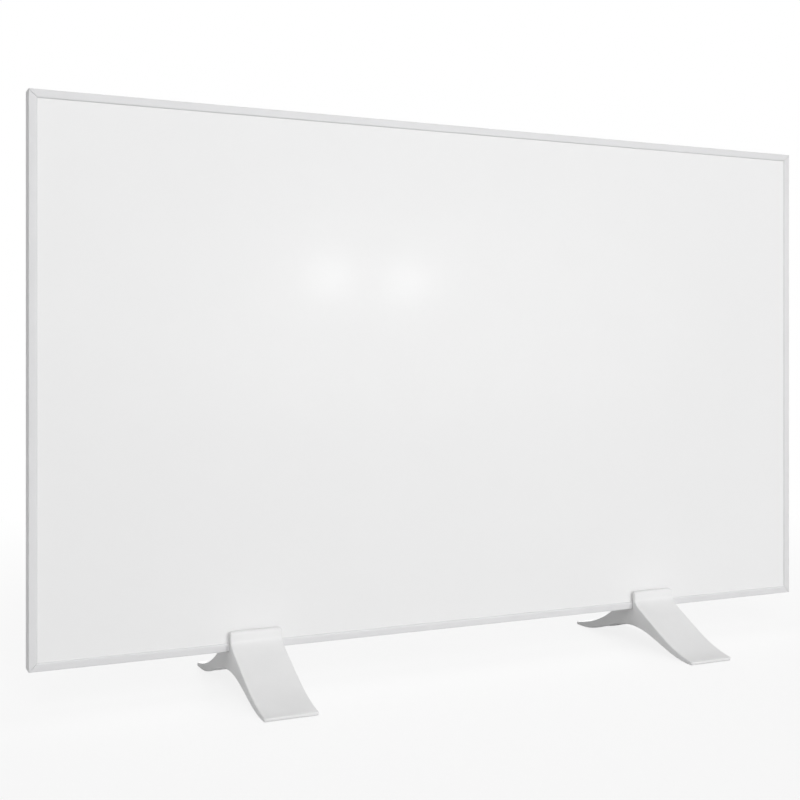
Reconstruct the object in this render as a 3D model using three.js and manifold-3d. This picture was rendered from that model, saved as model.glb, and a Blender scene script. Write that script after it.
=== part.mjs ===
// Infrared panel heater standing on two moulded feet.
//
// Millimetres, +Z up. X runs along the panel, the radiating face looks to -Y, the floor is
// Z = 0, and the origin lies on the floor under the middle of the whole object.
//
// The panel is a stack of sheets held in a mitred aluminium frame. Its back carries a terminal
// box with a rocker switch and a cable gland, and four keyhole brackets for a wall. Each foot
// grips the bottom rail in a slot, slides along it and is held there by a thumb screw.

import * as THREE from 'three';
import { mergeVertices } from 'three/addons/utils/BufferGeometryUtils.js';
import Module from 'manifold-3d';

const wasm = await Module();
wasm.setup();

// ---------------------------------------------------------------- driving dimensions

// Whole panel
const panelWidth = 1010;
const panelHeight = 600;
const panelDepth = 20;
const panelLift = 46;             // underside of the frame above the floor
const panelFrontY = -5;           // plane of the frame's front face

// Frame section
const frameFace = 9;              // width of the face seen from the front
const frameWall = 1.5;            // outer wall and front lip
const chamberWall = 1.2;          // walls of the box chamber that holds the corner keys
const webInset = 8.7;             // inner side of the chamber from the frame's outer side
const rearRim = 0.7;              // outer wall standing behind the rear plate
const edgeChamfer = 0.5;          // broken outer edges
const mitreGap = 0.1;             // each bar stops this far short of the mitre plane
const overrun = 1;                // tools and joined pieces run this far past a face

// Sheets, from front to back
const frontPlateThickness = 0.6;
const heatingFilmThickness = 0.8;
const busbarThickness = 0.3;
const busbarWidth = 12;
const busbarInset = 26;           // centre line of a busbar from the end of the panel
const insulatingSheetThickness = 0.5;
const reflectorThickness = 0.3;
const rearPlateThickness = 0.5;
const sheetEdgeGap = 0.5;         // sheets to the frame's outer wall
const seatGap = 0.3;              // clearance of a piece in its pocket or hole

// Corner joints
const keyLeg = 38;                // corner key's leg from the frame's outer corner
const cornerScrewInset = 25;      // corner screws from the frame's outer corner
const cornerScrewRadius = 1.3;
const cornerScrewLength = 8;
const screwHeadRadius = 2.8;
const screwHeadHeight = 1.6;
const screwSeat = 0.03;           // underside of a head above the face it is driven into

// Wall brackets
const bracketInsetX = 105;        // bracket centre from the end of the panel
const bracketInsetZ = 90;         // bracket centre from the top or bottom of the panel
const bracketHeight = 50;
const bracketFace = 36;           // raised middle, outside
const bracketFlange = 12;
const bracketRise = 10.5;
const bracketSheet = 1.5;
const keyholeRadius = 5;
const keyholeSlot = 5.2;
const keyholeRun = 14;            // from the round hole's centre to the slot's end

// Terminal box
const boxCentreX = 0;
const boxCentreZ = 104;           // above the underside of the frame
const boxWidth = 110;
const boxHeight = 70;
const boxWall = 2;
const boxCorner = 7;
const coverThickness = 2.5;
const coverRib = 1.5;
const bossRadius = 5.2;
const bossInset = 7;
const coverScrewRadius = 1.2;
const coverScrewLength = 12;
const leadHoleRadius = 12;        // through the rear plate and the floor of the box
const wiringPocketWidth = 84;     // opening in the insulation behind the box
const wiringPocketHeight = 44;

// Terminal block, earth stud, thermal cut-outs and leads
const bladeWidth = 4.8;           // push-on blades of the cut-outs and the switch
const bladeThickness = 0.8;
const blockWidth = 36;
const blockHeight = 16;
const blockDepth = 18;
const blockOffsetZ = 22;
const polePitch = 11;
const wireHoleRadius = 1.9;
const wireHoleHeight = 7;         // above the block's seat
const studRadius = 2;
const studLength = 14;
const studPoint = 0.6;            // chamfer at the stud's tip
const studFlangeRadius = 4;
const studFlangeHeight = 1;
const studX = 30;
const studZ = -17;
const earthNutFlats = 7;
const earthNutHeight = 3.2;
const cutoutRadius = 7.5;
const cutoutHeight = 9;
const cutoutSpacing = 52;
const cutoutStagger = 6;          // one stands this far above the box's centre, one below
const cutoutFlange = 1;           // rim against the foil, outside the body
const cutoutFlangeHeight = 2;
const cutoutBladeX = 3.375;       // blades from the middle of a cut-out
const leadRadius = 1.3;
const leadBend = 2.5;             // reach of a rounded corner in a lead
const leadRowZ = 14;              // leads run this far above and below the box's centre
const leadGroove = 4.4;
const leadWindowWidth = 13.2;     // openings over the busbars
const leadWindowHeight = 6.6;
const leadPocketRun = 6;          // straight run of a lead inside the wiring pocket
const leadDip = 4;                // start of the rise, in front of the rear plate
const leadHoleX = 4.2;            // leads from the middle of the hole in the rear plate
const leadRunIn = 6;              // straight run below the terminal block
const leadEntry = 4;              // depth of a lead in the block
const leadSides = 6;

// Cable gland in the underside of the box
const glandToBoss = 0.8;          // locknut to the nearest screw boss
const glandRoom = 0.45;           // locknut's corners to the box's floor and cover
const glandThreadRadius = 8;
const glandBoreRadius = 4.6;
const glandHexWall = 2;           // hexagon's flats outside the thread
const glandFlange = 4;
const glandInnerThread = 8;
const glandOuterThread = 8;
const glandNutWall = 2.4;         // dome nut outside the thread
const glandNutLength = 18;
const glandSealLength = 7;
const glandSealWall = 1.8;
const glandSealSqueeze = 0.4;     // seal's bore inside the body's
const glandThreadRelief = 0.5;    // outer thread under the inner one
const locknutHeight = 4;

// Outside of the dome nut, as shares of its radius and of its length
const glandNutDome = [[1, 0], [1, 0.55], [0.92, 0.75], [0.75, 17 / 18], [0.62, 1]];

// Rocker switch in the cover of the box
const switchX = 30;
const switchBezel = [15, 21];     // width and height
const switchBezelHeight = 1.8;
const switchBezelCorner = 1;
const switchBody = [12.6, 18.8];
const switchBodyDepth = 14;
const switchMouth = [11.2, 17.4];
const switchMouthDepth = 8.8;
const switchBladeLength = 6;
const switchBladeZ = 5.64;        // blades above and below the switch's centre
const rockerLength = 15;
const rockerWidth = 10.6;
const rockerTilt = 10;            // degrees each way from level
const rockerPivotDepth = 3.6;     // below the top of the bezel
const trunnionRadius = 1.2;
const rockerEndHeight = 5;        // ends of the rocker's face above the pivot
const rockerMiddleHeight = 3.8;
const rockerSkirt = 1.5;          // foot of its end walls below the pivot
const rockerSkirtInset = 1.3;
const rockerKeel = 3.6;
const rockerKeelShare = 0.4;      // keel's share of the rocker's length

// Feet
const footLeftX = -262;
const footRightX = 274;
const footLength = 250;
const footWidth = 60;
const slotGap = 0.3;              // each side of the frame
const slotFloorGap = 0.2;
const lipThickness = 5;
const lipHeight = 22.4;           // above the underside of the frame
const lipCorner = 3.5;
const lipBevel = 4.6;             // height of the rounded top edge of a lip
const lipCrown = 0.8;             // and its share of the lip's thickness
const soleHeight = 0.5;           // moulded sole above the floor, where the pads stand
const toeThickness = 4.2;
const toeNose = 2;                // rounding of the toe's upper edge, along the foot
const toeRound = 2.5;             // and of its lower edge
const toeCorner = 3;
const archHeight = 24.5;
const archHalf = 115;             // half the span of the arch
const archCentreY = -5;
const footEdge = 1.2;             // rounded edges along both sides
const footShell = 3.2;            // wall left round the ribbed hollow under the foot
const footRib = 2.4;
const ribStops = [-0.74, -0.43, -0.16, 0.12, 0.38, 0.7];  // shares of half the foot's length
const padWidth = 44;
const padLength = 11;
const padThickness = 1.6;
const padInset = 4;               // from the toe's end to the pad
const padCorner = 2;

// Upper side of the foot. Each leg's long curve runs from the toe to a bend, given from the
// lip and the underside of the frame, and a short curve goes on from there up the lip.
const rearBendReach = 8.7;
const rearBendRise = -1.8;
const frontBendReach = 11.7;
const frontBendRise = 0.8;
const lipBendRise = 12;           // end of the short curves
const rearLipHandle = [0.5, 5];
const frontLipHandle = [1.2, 6];
// Handles of the long curves, as shares of the run and of the drop from toe to bend
const rearToeHandle = [0.39, 0.12];
const rearBendHandle = [0.23, 0.53];
const frontToeHandle = [0.36, 0.12];
const frontBendHandle = [0.42, 0.53];

// Thumb screw in each foot's rear lip
const thumbScrewRise = 10;        // axis above the underside of the frame
const thumbShankRadius = 2.2;
const thumbHeadRadius = 5;
const thumbHeadLength = 7;
const thumbLobes = 10;
const thumbLobeSteps = 4;
const thumbLobeDepth = 0.35;
const thumbHeadGap = 0.4;         // head to the lip
const thumbClearance = 0.8;       // spot face round the head
const insertWall = 1.1;
const insertLength = 4.4;

const roundSides = 16;            // facets round a bush, hole or gland
const screwSides = 12;            // facets round a small screw
const arcSteps = 5;               // facets of a rounded corner
const footCurveSteps = 6;         // facets of each curve in the foot's outline

// ---------------------------------------------------------------- colours and finishes

const finishes = {
  whiteEnamel: { color: 0xf1f1f1, roughness: 0.28, metalness: 0 },
  whiteAluminium: { color: 0xe2e3e4, roughness: 0.42, metalness: 0.1 },
  whitePlastic: { color: 0xe8e8e7, roughness: 0.45, metalness: 0 },
  greyPlastic: { color: 0xc9cbcc, roughness: 0.5, metalness: 0 },
  blackPlastic: { color: 0x1d1d1f, roughness: 0.45, metalness: 0 },
  zincSteel: { color: 0xc4c7c9, roughness: 0.38, metalness: 0.9 },
  carbonFilm: { color: 0x26272a, roughness: 0.6, metalness: 0 },
  copper: { color: 0xb87345, roughness: 0.35, metalness: 1 },
  brass: { color: 0xb99a52, roughness: 0.35, metalness: 1 },
  mica: { color: 0xd9cfb8, roughness: 0.55, metalness: 0 },
  foil: { color: 0xd4d6d8, roughness: 0.25, metalness: 1 },
  mineralWool: { color: 0xcdbf8f, roughness: 0.95, metalness: 0 },
  ceramic: { color: 0xefe9dd, roughness: 0.5, metalness: 0 },
  brownWire: { color: 0x6a4226, roughness: 0.5, metalness: 0 },
  blueWire: { color: 0x2f5f9e, roughness: 0.5, metalness: 0 },
  rubber: { color: 0x8f9192, roughness: 0.85, metalness: 0 },
};

// ---------------------------------------------------------------- shape helpers

// A prism over a flat outline. The outline's x and y run along the two axes that `plane`
// names, and the prism fills from `low` to `high` along the third axis.
function prism(plane, outline, low, high) {
  const geometry = new THREE.ExtrudeGeometry(outline, {
    depth: 1,
    bevelEnabled: false,
    curveSegments: arcSteps,
  });
  const place = {
    xy: (a, b, far) => [a, b, far ? high : low],
    yz: (a, b, far) => [far ? high : low, a, b],
    xz: (a, b, far) => [a, far ? low : high, b],
  }[plane];
  const position = geometry.attributes.position;
  for (let i = 0; i < position.count; i += 1) {
    const far = position.getZ(i) > 0.5;
    position.setXYZ(i, ...place(position.getX(i), position.getY(i), far));
  }
  return geometry;
}

function rectangle(left, bottom, right, top) {
  const outline = new THREE.Shape();
  outline.moveTo(left, bottom);
  outline.lineTo(right, bottom);
  outline.lineTo(right, top);
  outline.lineTo(left, top);
  outline.closePath();
  return outline;
}

function centredRectangle(width, height, x = 0, y = 0) {
  return rectangle(x - width / 2, y - height / 2, x + width / 2, y + height / 2);
}

function roundedRectangle(width, height, radius, x = 0, y = 0) {
  const right = x + width / 2 - radius;
  const left = x - width / 2 + radius;
  const top = y + height / 2 - radius;
  const bottom = y - height / 2 + radius;
  const outline = new THREE.Shape();
  outline.absarc(right, bottom, radius, -Math.PI / 2, 0);
  outline.absarc(right, top, radius, 0, Math.PI / 2);
  outline.absarc(left, top, radius, Math.PI / 2, Math.PI);
  outline.absarc(left, bottom, radius, Math.PI, Math.PI * 1.5);
  outline.closePath();
  return outline;
}

function polygon(sides, radius, x = 0, y = 0) {
  const corners = [];
  for (let i = 0; i < sides; i += 1) {
    const angle = (2 * Math.PI * (i + 0.5)) / sides;
    corners.push(new THREE.Vector2(x + radius * Math.cos(angle), y + radius * Math.sin(angle)));
  }
  return new THREE.Shape(corners);
}

function circle(radius, x = 0, y = 0) {
  return polygon(roundSides, radius, x, y);
}

function hexagon(acrossFlats) {
  return polygon(6, acrossFlats / Math.sqrt(3));
}

function withHoles(outline, ...holes) {
  outline.holes.push(...holes);
  return outline;
}

// A turned piece about the Y axis from [radius, height] pairs, listed anticlockwise.
function turned(profile, sides = roundSides) {
  const points = profile.map(([radius, height]) => new THREE.Vector2(radius, height));
  return new THREE.LatheGeometry(points, sides);
}

function toSolid(geometry) {
  const bare = geometry.clone();
  bare.deleteAttribute('normal');
  bare.deleteAttribute('uv');
  const merged = mergeVertices(bare, 1e-5);
  return new wasm.Manifold(new wasm.Mesh({
    numProp: 3,
    vertProperties: merged.attributes.position.array,
    triVerts: new Uint32Array(merged.index.array),
  }));
}

function toGeometry(solid) {
  const mesh = solid.getMesh();
  const geometry = new THREE.BufferGeometry();
  geometry.setAttribute('position', new THREE.BufferAttribute(mesh.vertProperties, 3));
  geometry.setIndex(new THREE.BufferAttribute(mesh.triVerts, 1));
  geometry.computeVertexNormals();
  return geometry;
}

function cut(geometry, ...tools) {
  return toGeometry(tools.reduce((solid, tool) => solid.subtract(toSolid(tool)), toSolid(geometry)));
}

function join(geometry, ...others) {
  return toGeometry(others.reduce((solid, other) => solid.add(toSolid(other)), toSolid(geometry)));
}

function common(geometry, ...others) {
  return toGeometry(
    others.reduce((solid, other) => solid.intersect(toSolid(other)), toSolid(geometry)),
  );
}

function piece(name, geometry, finish) {
  const mesh = new THREE.Mesh(geometry, new THREE.MeshStandardMaterial(finishes[finish]));
  mesh.name = name;
  return mesh;
}

function groupAt(x, y, z) {
  const group = new THREE.Group();
  group.position.set(x, y, z);
  return group;
}

// A pan-head screw along Y: the head's underside is at y = 0 and the shank runs to -Y.
function panHeadScrew(shankRadius, shankLength) {
  const tipRadius = shankRadius * 0.4;
  const rimHeight = screwHeadHeight * 0.4;
  const domeRadius = screwHeadRadius * 0.75;
  const domeHeight = screwHeadHeight * 0.85;
  return turned([
    [0, -shankLength],
    [tipRadius, -shankLength],
    [shankRadius, -shankLength + shankRadius],
    [shankRadius, 0],
    [screwHeadRadius, 0],
    [screwHeadRadius, rimHeight],
    [domeRadius, domeHeight],
    [0, screwHeadHeight],
  ], screwSides);
}

// ---------------------------------------------------------------- stack of the panel
// In the panel's own frame y = 0 is the front face of the frame and z = 0 its underside.

const frontPlateY = frameWall;
const filmY = frontPlateY + frontPlateThickness;
const busbarY = filmY + heatingFilmThickness;
const insulatingSheetY = busbarY + busbarThickness;
const reflectorY = insulatingSheetY + insulatingSheetThickness;
const boardY = reflectorY + reflectorThickness;
const rearPlateY = panelDepth - rearRim - rearPlateThickness;
const rearFaceY = panelDepth - rearRim;
const chamberFrontY = boardY + chamberWall;
const chamberBackY = rearPlateY - chamberWall;
const chamberInner = webInset - chamberWall;

const panelMidZ = panelHeight / 2;
const sheetInset = frameWall + sheetEdgeGap;

function fullSheet(inset) {
  return centredRectangle(panelWidth - 2 * inset, panelHeight - 2 * inset, 0, panelMidZ);
}

function busbarX(side) {
  return side * (panelWidth / 2 - busbarInset);
}

function leadZ(side) {
  return boxCentreZ - side * leadRowZ;
}

// Openings where the two leads reach the busbars.
function leadWindows() {
  return [-1, 1].map((side) => centredRectangle(leadWindowWidth, leadWindowHeight,
    busbarX(side), leadZ(side)));
}

const cornerScrewDepthZ = (frameWall + chamberInner) / 2;

// The eight corner screws, as [x, z] in the panel's frame.
function cornerScrewPlaces() {
  const places = [];
  for (const side of [-1, 1]) {
    for (const end of [0, 1]) {
      const edgeX = side * panelWidth / 2;
      const edgeZ = end * panelHeight;
      const inwardZ = end ? -1 : 1;
      places.push([edgeX - side * cornerScrewInset, edgeZ + inwardZ * cornerScrewDepthZ]);
      places.push([edgeX - side * cornerScrewDepthZ, edgeZ + inwardZ * cornerScrewInset]);
    }
  }
  return places;
}

function sheets() {
  const board = cut(
    prism('xz', fullSheet(webInset + seatGap), boardY, rearPlateY),
    prism('xz',
      centredRectangle(wiringPocketWidth, wiringPocketHeight, boxCentreX, boxCentreZ),
      boardY - overrun, rearPlateY + overrun),
    ...[-1, 1].map((side) => {
      const outer = busbarX(side) + side * leadGroove;
      return prism('xz',
        rectangle(Math.min(outer, boxCentreX), leadZ(side) - leadGroove / 2,
          Math.max(outer, boxCentreX), leadZ(side) + leadGroove / 2),
        boardY - overrun, boardY + leadGroove);
    }),
  );
  const rearPlate = withHoles(
    fullSheet(frameWall + seatGap),
    ...cornerScrewPlaces().map(([x, z]) => circle(cornerScrewRadius + seatGap, x, z)),
    circle(leadHoleRadius, boxCentreX, boxCentreZ),
  );
  const busbarHeight = panelHeight - 2 * (sheetInset + busbarWidth);
  return [
    piece('front_plate',
      prism('xz', fullSheet(sheetInset), frontPlateY, filmY), 'whiteEnamel'),
    piece('heating_film',
      prism('xz', fullSheet(sheetInset), filmY, busbarY), 'carbonFilm'),
    ...[-1, 1].map((side) => piece(side < 0 ? 'busbar_left' : 'busbar_right',
      prism('xz', centredRectangle(busbarWidth, busbarHeight, busbarX(side), panelMidZ),
        busbarY, insulatingSheetY), 'copper')),
    piece('insulating_sheet',
      prism('xz', withHoles(fullSheet(sheetInset), ...leadWindows()),
        insulatingSheetY, reflectorY), 'mica'),
    piece('reflector_foil',
      prism('xz', withHoles(fullSheet(sheetInset), ...leadWindows()), reflectorY, boardY), 'foil'),
    piece('insulation_board', board, 'mineralWool'),
    piece('rear_plate', prism('xz', rearPlate, rearPlateY, rearFaceY), 'whiteEnamel'),
  ];
}

// ---------------------------------------------------------------- frame

// Section of a frame bar: u runs inwards from the outer side and v from front to back.
function frameSection() {
  const outline = new THREE.Shape([
    [edgeChamfer, 0],
    [frameFace, 0],
    [frameFace, frameWall],
    [frameWall, frameWall],
    [frameWall, boardY],
    [webInset, boardY],
    [webInset, rearPlateY],
    [frameWall, rearPlateY],
    [frameWall, panelDepth],
    [edgeChamfer, panelDepth],
    [0, panelDepth - edgeChamfer],
    [0, edgeChamfer],
  ].map(([u, v]) => new THREE.Vector2(u, v)));
  return withHoles(outline, rectangle(frameWall, chamberFrontY, chamberInner, chamberBackY));
}

// A bar along X with its outer side down, mitred at both ends.
function frameBar(length) {
  const geometry = new THREE.ExtrudeGeometry(frameSection(), { depth: 1, bevelEnabled: false });
  const position = geometry.attributes.position;
  for (let i = 0; i < position.count; i += 1) {
    const u = position.getX(i);
    const v = position.getY(i);
    const side = position.getZ(i) > 0.5 ? -1 : 1;
    position.setXYZ(i, side * (length / 2 - u - mitreGap), v, u);
  }
  const holes = [-1, 1].map((side) => prism('xz',
    circle(cornerScrewRadius + seatGap, side * (length / 2 - cornerScrewInset), cornerScrewDepthZ),
    chamberBackY - overrun, rearPlateY + overrun));
  return cut(geometry, ...holes);
}

function cornerKey() {
  const low = frameWall + seatGap;
  const high = chamberInner - seatGap;
  const outline = new THREE.Shape([
    [low, low],
    [keyLeg, low],
    [keyLeg, high],
    [high, high],
    [high, keyLeg],
    [low, keyLeg],
  ].map(([x, z]) => new THREE.Vector2(x, z)));
  withHoles(outline,
    circle(cornerScrewRadius + seatGap, cornerScrewInset, cornerScrewDepthZ),
    circle(cornerScrewRadius + seatGap, cornerScrewDepthZ, cornerScrewInset));
  return prism('xz', outline, chamberFrontY + seatGap, chamberBackY - seatGap);
}

function frame() {
  const half = panelWidth / 2;
  const bars = [
    ['frame_bottom', panelWidth, 0, 0, 0],
    ['frame_top', panelWidth, 0, panelHeight, Math.PI],
    ['frame_left', panelHeight, -half, panelMidZ, Math.PI / 2],
    ['frame_right', panelHeight, half, panelMidZ, -Math.PI / 2],
  ].map(([name, length, x, z, turn]) => {
    const bar = piece(name, frameBar(length), 'whiteAluminium');
    bar.position.set(x, 0, z);
    bar.rotation.y = turn;
    return bar;
  });
  const keys = [
    ['corner_key_bottom_left', -half, 0, 0],
    ['corner_key_top_left', -half, panelHeight, Math.PI / 2],
    ['corner_key_top_right', half, panelHeight, Math.PI],
    ['corner_key_bottom_right', half, 0, -Math.PI / 2],
  ].map(([name, x, z, turn]) => {
    const key = piece(name, cornerKey(), 'zincSteel');
    key.position.set(x, 0, z);
    key.rotation.y = turn;
    return key;
  });
  const screws = cornerScrewPlaces().map(([x, z], i) => {
    const screw = piece(`corner_screw_${i + 1}`,
      panHeadScrew(cornerScrewRadius, cornerScrewLength), 'zincSteel');
    screw.position.set(x, rearFaceY + screwSeat, z);
    return screw;
  });
  return [...bars, ...keys, ...screws];
}

// ---------------------------------------------------------------- wall brackets

// A hat-shaped bracket with a keyhole, standing on the rear plate.
function wallBracket() {
  const face = bracketFace / 2;
  const foot = face + bracketFlange;
  const base = rearFaceY;
  const top = rearFaceY + bracketRise;
  const section = new THREE.Shape([
    [-foot, base],
    [-face + bracketSheet, base],
    [-face + bracketSheet, top - bracketSheet],
    [face - bracketSheet, top - bracketSheet],
    [face - bracketSheet, base],
    [foot, base],
    [foot, base + bracketSheet],
    [face, base + bracketSheet],
    [face, top],
    [-face, top],
    [-face, base + bracketSheet],
    [-foot, base + bracketSheet],
  ].map(([x, y]) => new THREE.Vector2(x, y)));
  const low = -keyholeRun / 2;
  const high = keyholeRun / 2;
  const keyhole = join(...[
    circle(keyholeRadius, 0, low),
    rectangle(-keyholeSlot / 2, low, keyholeSlot / 2, high),
    circle(keyholeSlot / 2, 0, high),
  ].map((outline) => prism('xz', outline, base, top + overrun)));
  return cut(prism('xy', section, -bracketHeight / 2, bracketHeight / 2), keyhole);
}

function wallBrackets() {
  const half = panelWidth / 2;
  return [
    ['wall_bracket_bottom_left', -1, bracketInsetZ],
    ['wall_bracket_bottom_right', 1, bracketInsetZ],
    ['wall_bracket_top_left', -1, panelHeight - bracketInsetZ],
    ['wall_bracket_top_right', 1, panelHeight - bracketInsetZ],
  ].map(([name, side, z]) => {
    const bracket = piece(name, wallBracket(), 'whiteEnamel');
    bracket.position.set(side * (half - bracketInsetX), 0, z);
    return bracket;
  });
}

// ---------------------------------------------------------------- terminal box

const glandFlats = 2 * (glandThreadRadius + glandHexWall);
const glandCorner = glandFlats / Math.sqrt(3);
const boxDepth = boxWall + 2 * (glandCorner + glandRoom);
const boxFloorY = rearFaceY + boxWall;
const coverY = rearFaceY + boxDepth;
const coverTopY = coverY + coverThickness;
const glandY = (boxFloorY + coverY) / 2;
const glandX = -(boxWidth / 2 - bossInset - bossRadius - glandToBoss - glandFlats / 2);

function bossPlaces() {
  const x = boxWidth / 2 - bossInset;
  const z = boxHeight / 2 - bossInset;
  return [[-x, -z], [x, -z], [x, z], [-x, z]];
}

function boxBase() {
  const outline = roundedRectangle(boxWidth, boxHeight, boxCorner);
  const hollow = roundedRectangle(boxWidth - 2 * boxWall, boxHeight - 2 * boxWall,
    boxCorner - boxWall);
  const tray = cut(
    prism('xz', outline, rearFaceY, coverY),
    prism('xz', hollow, boxFloorY, coverY + overrun),
  );
  const bosses = bossPlaces().map(([x, z]) => common(
    prism('xz', circle(bossRadius, x, z), boxFloorY - boxWall / 2, coverY),
    prism('xz', outline, rearFaceY, coverY),
  ));
  const glandHole = prism('xy', circle(glandThreadRadius + seatGap, glandX, glandY),
    -boxHeight / 2 - overrun, -boxHeight / 2 + boxWall + overrun);
  return cut(
    join(tray, ...bosses),
    ...bossPlaces().map(([x, z]) => prism('xz', circle(coverScrewRadius + seatGap, x, z),
      coverY - coverScrewLength, coverY + overrun)),
    ...[
      circle(leadHoleRadius),
      circle(studFlangeRadius + seatGap, studX, studZ),
    ].map((hole) => prism('xz', hole, rearFaceY - overrun, boxFloorY + overrun)),
    glandHole,
  );
}

function boxCover() {
  const lid = withHoles(
    roundedRectangle(boxWidth, boxHeight, boxCorner),
    ...bossPlaces().map(([x, z]) => circle(coverScrewRadius + seatGap, x, z)),
    centredRectangle(switchBody[0] + 2 * seatGap, switchBody[1] + 2 * seatGap, switchX, 0),
  );
  const ribX = boxWidth / 2 - boxWall - seatGap - coverRib / 2;
  const ribLength = boxHeight - 2 * (bossInset + bossRadius + seatGap);
  const ribs = [-1, 1].map((side) => prism('xz',
    centredRectangle(coverRib, ribLength, side * ribX, 0),
    coverY - 2 * coverRib, coverY + overrun));
  return join(prism('xz', lid, coverY, coverTopY), ...ribs);
}

function terminalBlock() {
  const poles = [-1, 0, 1];
  const wireY = boxFloorY + wireHoleHeight;
  const body = prism('xz', centredRectangle(blockWidth, blockHeight, 0, blockOffsetZ),
    boxFloorY, boxFloorY + blockDepth);
  return cut(
    body,
    ...poles.map((pole) => prism('xy', circle(wireHoleRadius, pole * polePitch, wireY),
      blockOffsetZ - blockHeight, blockOffsetZ + blockHeight)),
    ...poles.map((pole) => prism('xz', circle(wireHoleRadius, pole * polePitch, blockOffsetZ),
      wireY, boxFloorY + blockDepth + overrun)),
  );
}

function earthStud() {
  const shoulder = rearFaceY + studFlangeHeight;
  const tip = rearFaceY + studLength;
  return turned([
    [0, rearFaceY],
    [studFlangeRadius, rearFaceY],
    [studFlangeRadius, shoulder],
    [studRadius, shoulder],
    [studRadius, tip - studPoint],
    [studRadius - studPoint, tip],
    [0, tip],
  ]);
}

function earthNut() {
  const bottom = boxFloorY + seatGap;
  return prism('xz', withHoles(hexagon(earthNutFlats), circle(studRadius + seatGap)),
    bottom, bottom + earthNutHeight);
}

// A disc thermostat with two blade terminals, lying against the reflector foil.
function thermalCutout() {
  const flangeTop = boardY + cutoutFlangeHeight;
  const top = boardY + cutoutHeight;
  const body = turned([
    [0, boardY],
    [cutoutRadius, boardY],
    [cutoutRadius, flangeTop],
    [cutoutRadius - cutoutFlange, flangeTop],
    [cutoutRadius - cutoutFlange, top],
    [0, top],
  ]);
  const blades = [-1, 1].map((side) => prism('xz',
    centredRectangle(bladeThickness, bladeWidth, side * cutoutBladeX, 0),
    top - overrun, rearPlateY - overrun));
  return join(body, ...blades);
}

// A path through given points, with one ring of the swept piece at each of them.
class RingPath extends THREE.Curve {
  constructor(centres) {
    super();
    this.centres = centres;
    this.last = centres.length - 1;
  }

  getPointAt(t) {
    const low = Math.min(Math.floor(t * this.last + 1e-9), this.last - 1);
    return this.centres[low].clone().lerp(this.centres[low + 1], t * this.last - low);
  }

  getTangentAt(t) {
    const i = Math.round(t * this.last);
    const here = this.centres[i];
    const before = here.clone().sub(this.centres[Math.max(i - 1, 0)]).normalize();
    const after = this.centres[Math.min(i + 1, this.last)].clone().sub(here).normalize();
    return before.add(after).normalize();
  }
}

// Sweeps an outline through corner points, with each inner corner rounded over `reach`.
function sweepThrough(outline, corners, reach) {
  const bendSteps = 3;
  const centres = [corners[0]];
  for (let i = 1; i < corners.length - 1; i += 1) {
    const corner = corners[i];
    const into = corner.clone().lerp(corners[i - 1], reach / corner.distanceTo(corners[i - 1]));
    const outOf = corner.clone().lerp(corners[i + 1], reach / corner.distanceTo(corners[i + 1]));
    const bend = new THREE.QuadraticBezierCurve3(into, corner, outOf);
    centres.push(...bend.getPoints(bendSteps));
  }
  centres.push(corners[corners.length - 1]);
  return new THREE.ExtrudeGeometry(outline, {
    steps: centres.length - 1,
    bevelEnabled: false,
    extrudePath: new RingPath(centres),
  });
}

// One insulated lead from a busbar, along its groove, up through the rear plate and into
// the terminal block.
function lead(side) {
  const row = -side * leadRowZ;
  const startX = busbarX(side) - boxCentreX;
  const grooveY = boardY + leadGroove / 2;
  const risingX = side * leadHoleX;
  const entryX = side * polePitch;
  const entryY = boxFloorY + wireHoleHeight;
  const entryZ = blockOffsetZ - blockHeight / 2;
  const corners = [
    [startX, insulatingSheetY + seatGap + leadRadius, row],
    [startX - side * busbarWidth, grooveY, row],
    [side * (wiringPocketWidth / 2 - leadPocketRun), grooveY, row],
    [risingX, rearPlateY - leadDip, 0],
    [risingX, boxFloorY, 0],
    [entryX, entryY, entryZ - leadRunIn],
    [entryX, entryY, entryZ + leadEntry],
  ].map(([x, y, z]) => new THREE.Vector3(x, y, z));
  return sweepThrough(polygon(leadSides, leadRadius), corners, leadBend);
}

// ---------------------------------------------------------------- cable gland
// The gland's own frame has its axis along Y, y = 0 on the outside of the box wall and +y
// pointing out of the box.

const glandNutRadius = glandThreadRadius + glandNutWall;
const glandOuterRadius = glandThreadRadius - glandThreadRelief;

function glandBody() {
  const inner = -boxWall - glandInnerThread;
  const outer = glandFlange + glandOuterThread;
  const tube = turned([
    [glandBoreRadius, inner],
    [glandThreadRadius, inner],
    [glandThreadRadius, glandFlange / 2],
    [glandOuterRadius, glandFlange / 2],
    [glandOuterRadius, outer],
    [glandBoreRadius, outer],
    [glandBoreRadius, inner],
  ]);
  const flange = prism('xz', withHoles(hexagon(glandFlats), circle(glandThreadRadius - overrun)),
    0, glandFlange);
  return join(tube, flange);
}

function glandLocknut() {
  return prism('xz',
    withHoles(hexagon(glandFlats), circle(glandThreadRadius + seatGap)),
    -boxWall - seatGap - locknutHeight, -boxWall - seatGap);
}

const glandSealStart = glandFlange + glandOuterThread + seatGap;
const glandSealRadius = glandBoreRadius + glandSealWall;

function glandNut() {
  const start = glandFlange + seatGap;
  const clear = glandOuterRadius + seatGap;
  const sealEnd = glandSealStart + glandSealLength + seatGap;
  return turned([
    [clear, start],
    ...glandNutDome.map(([wide, far]) => [glandNutRadius * wide, start + glandNutLength * far]),
    [glandBoreRadius + seatGap, start + glandNutLength],
    [glandBoreRadius + seatGap, sealEnd],
    [glandSealRadius + seatGap, sealEnd],
    [glandSealRadius + seatGap, glandSealStart],
    [clear, glandSealStart],
    [clear, start],
  ]);
}

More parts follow.
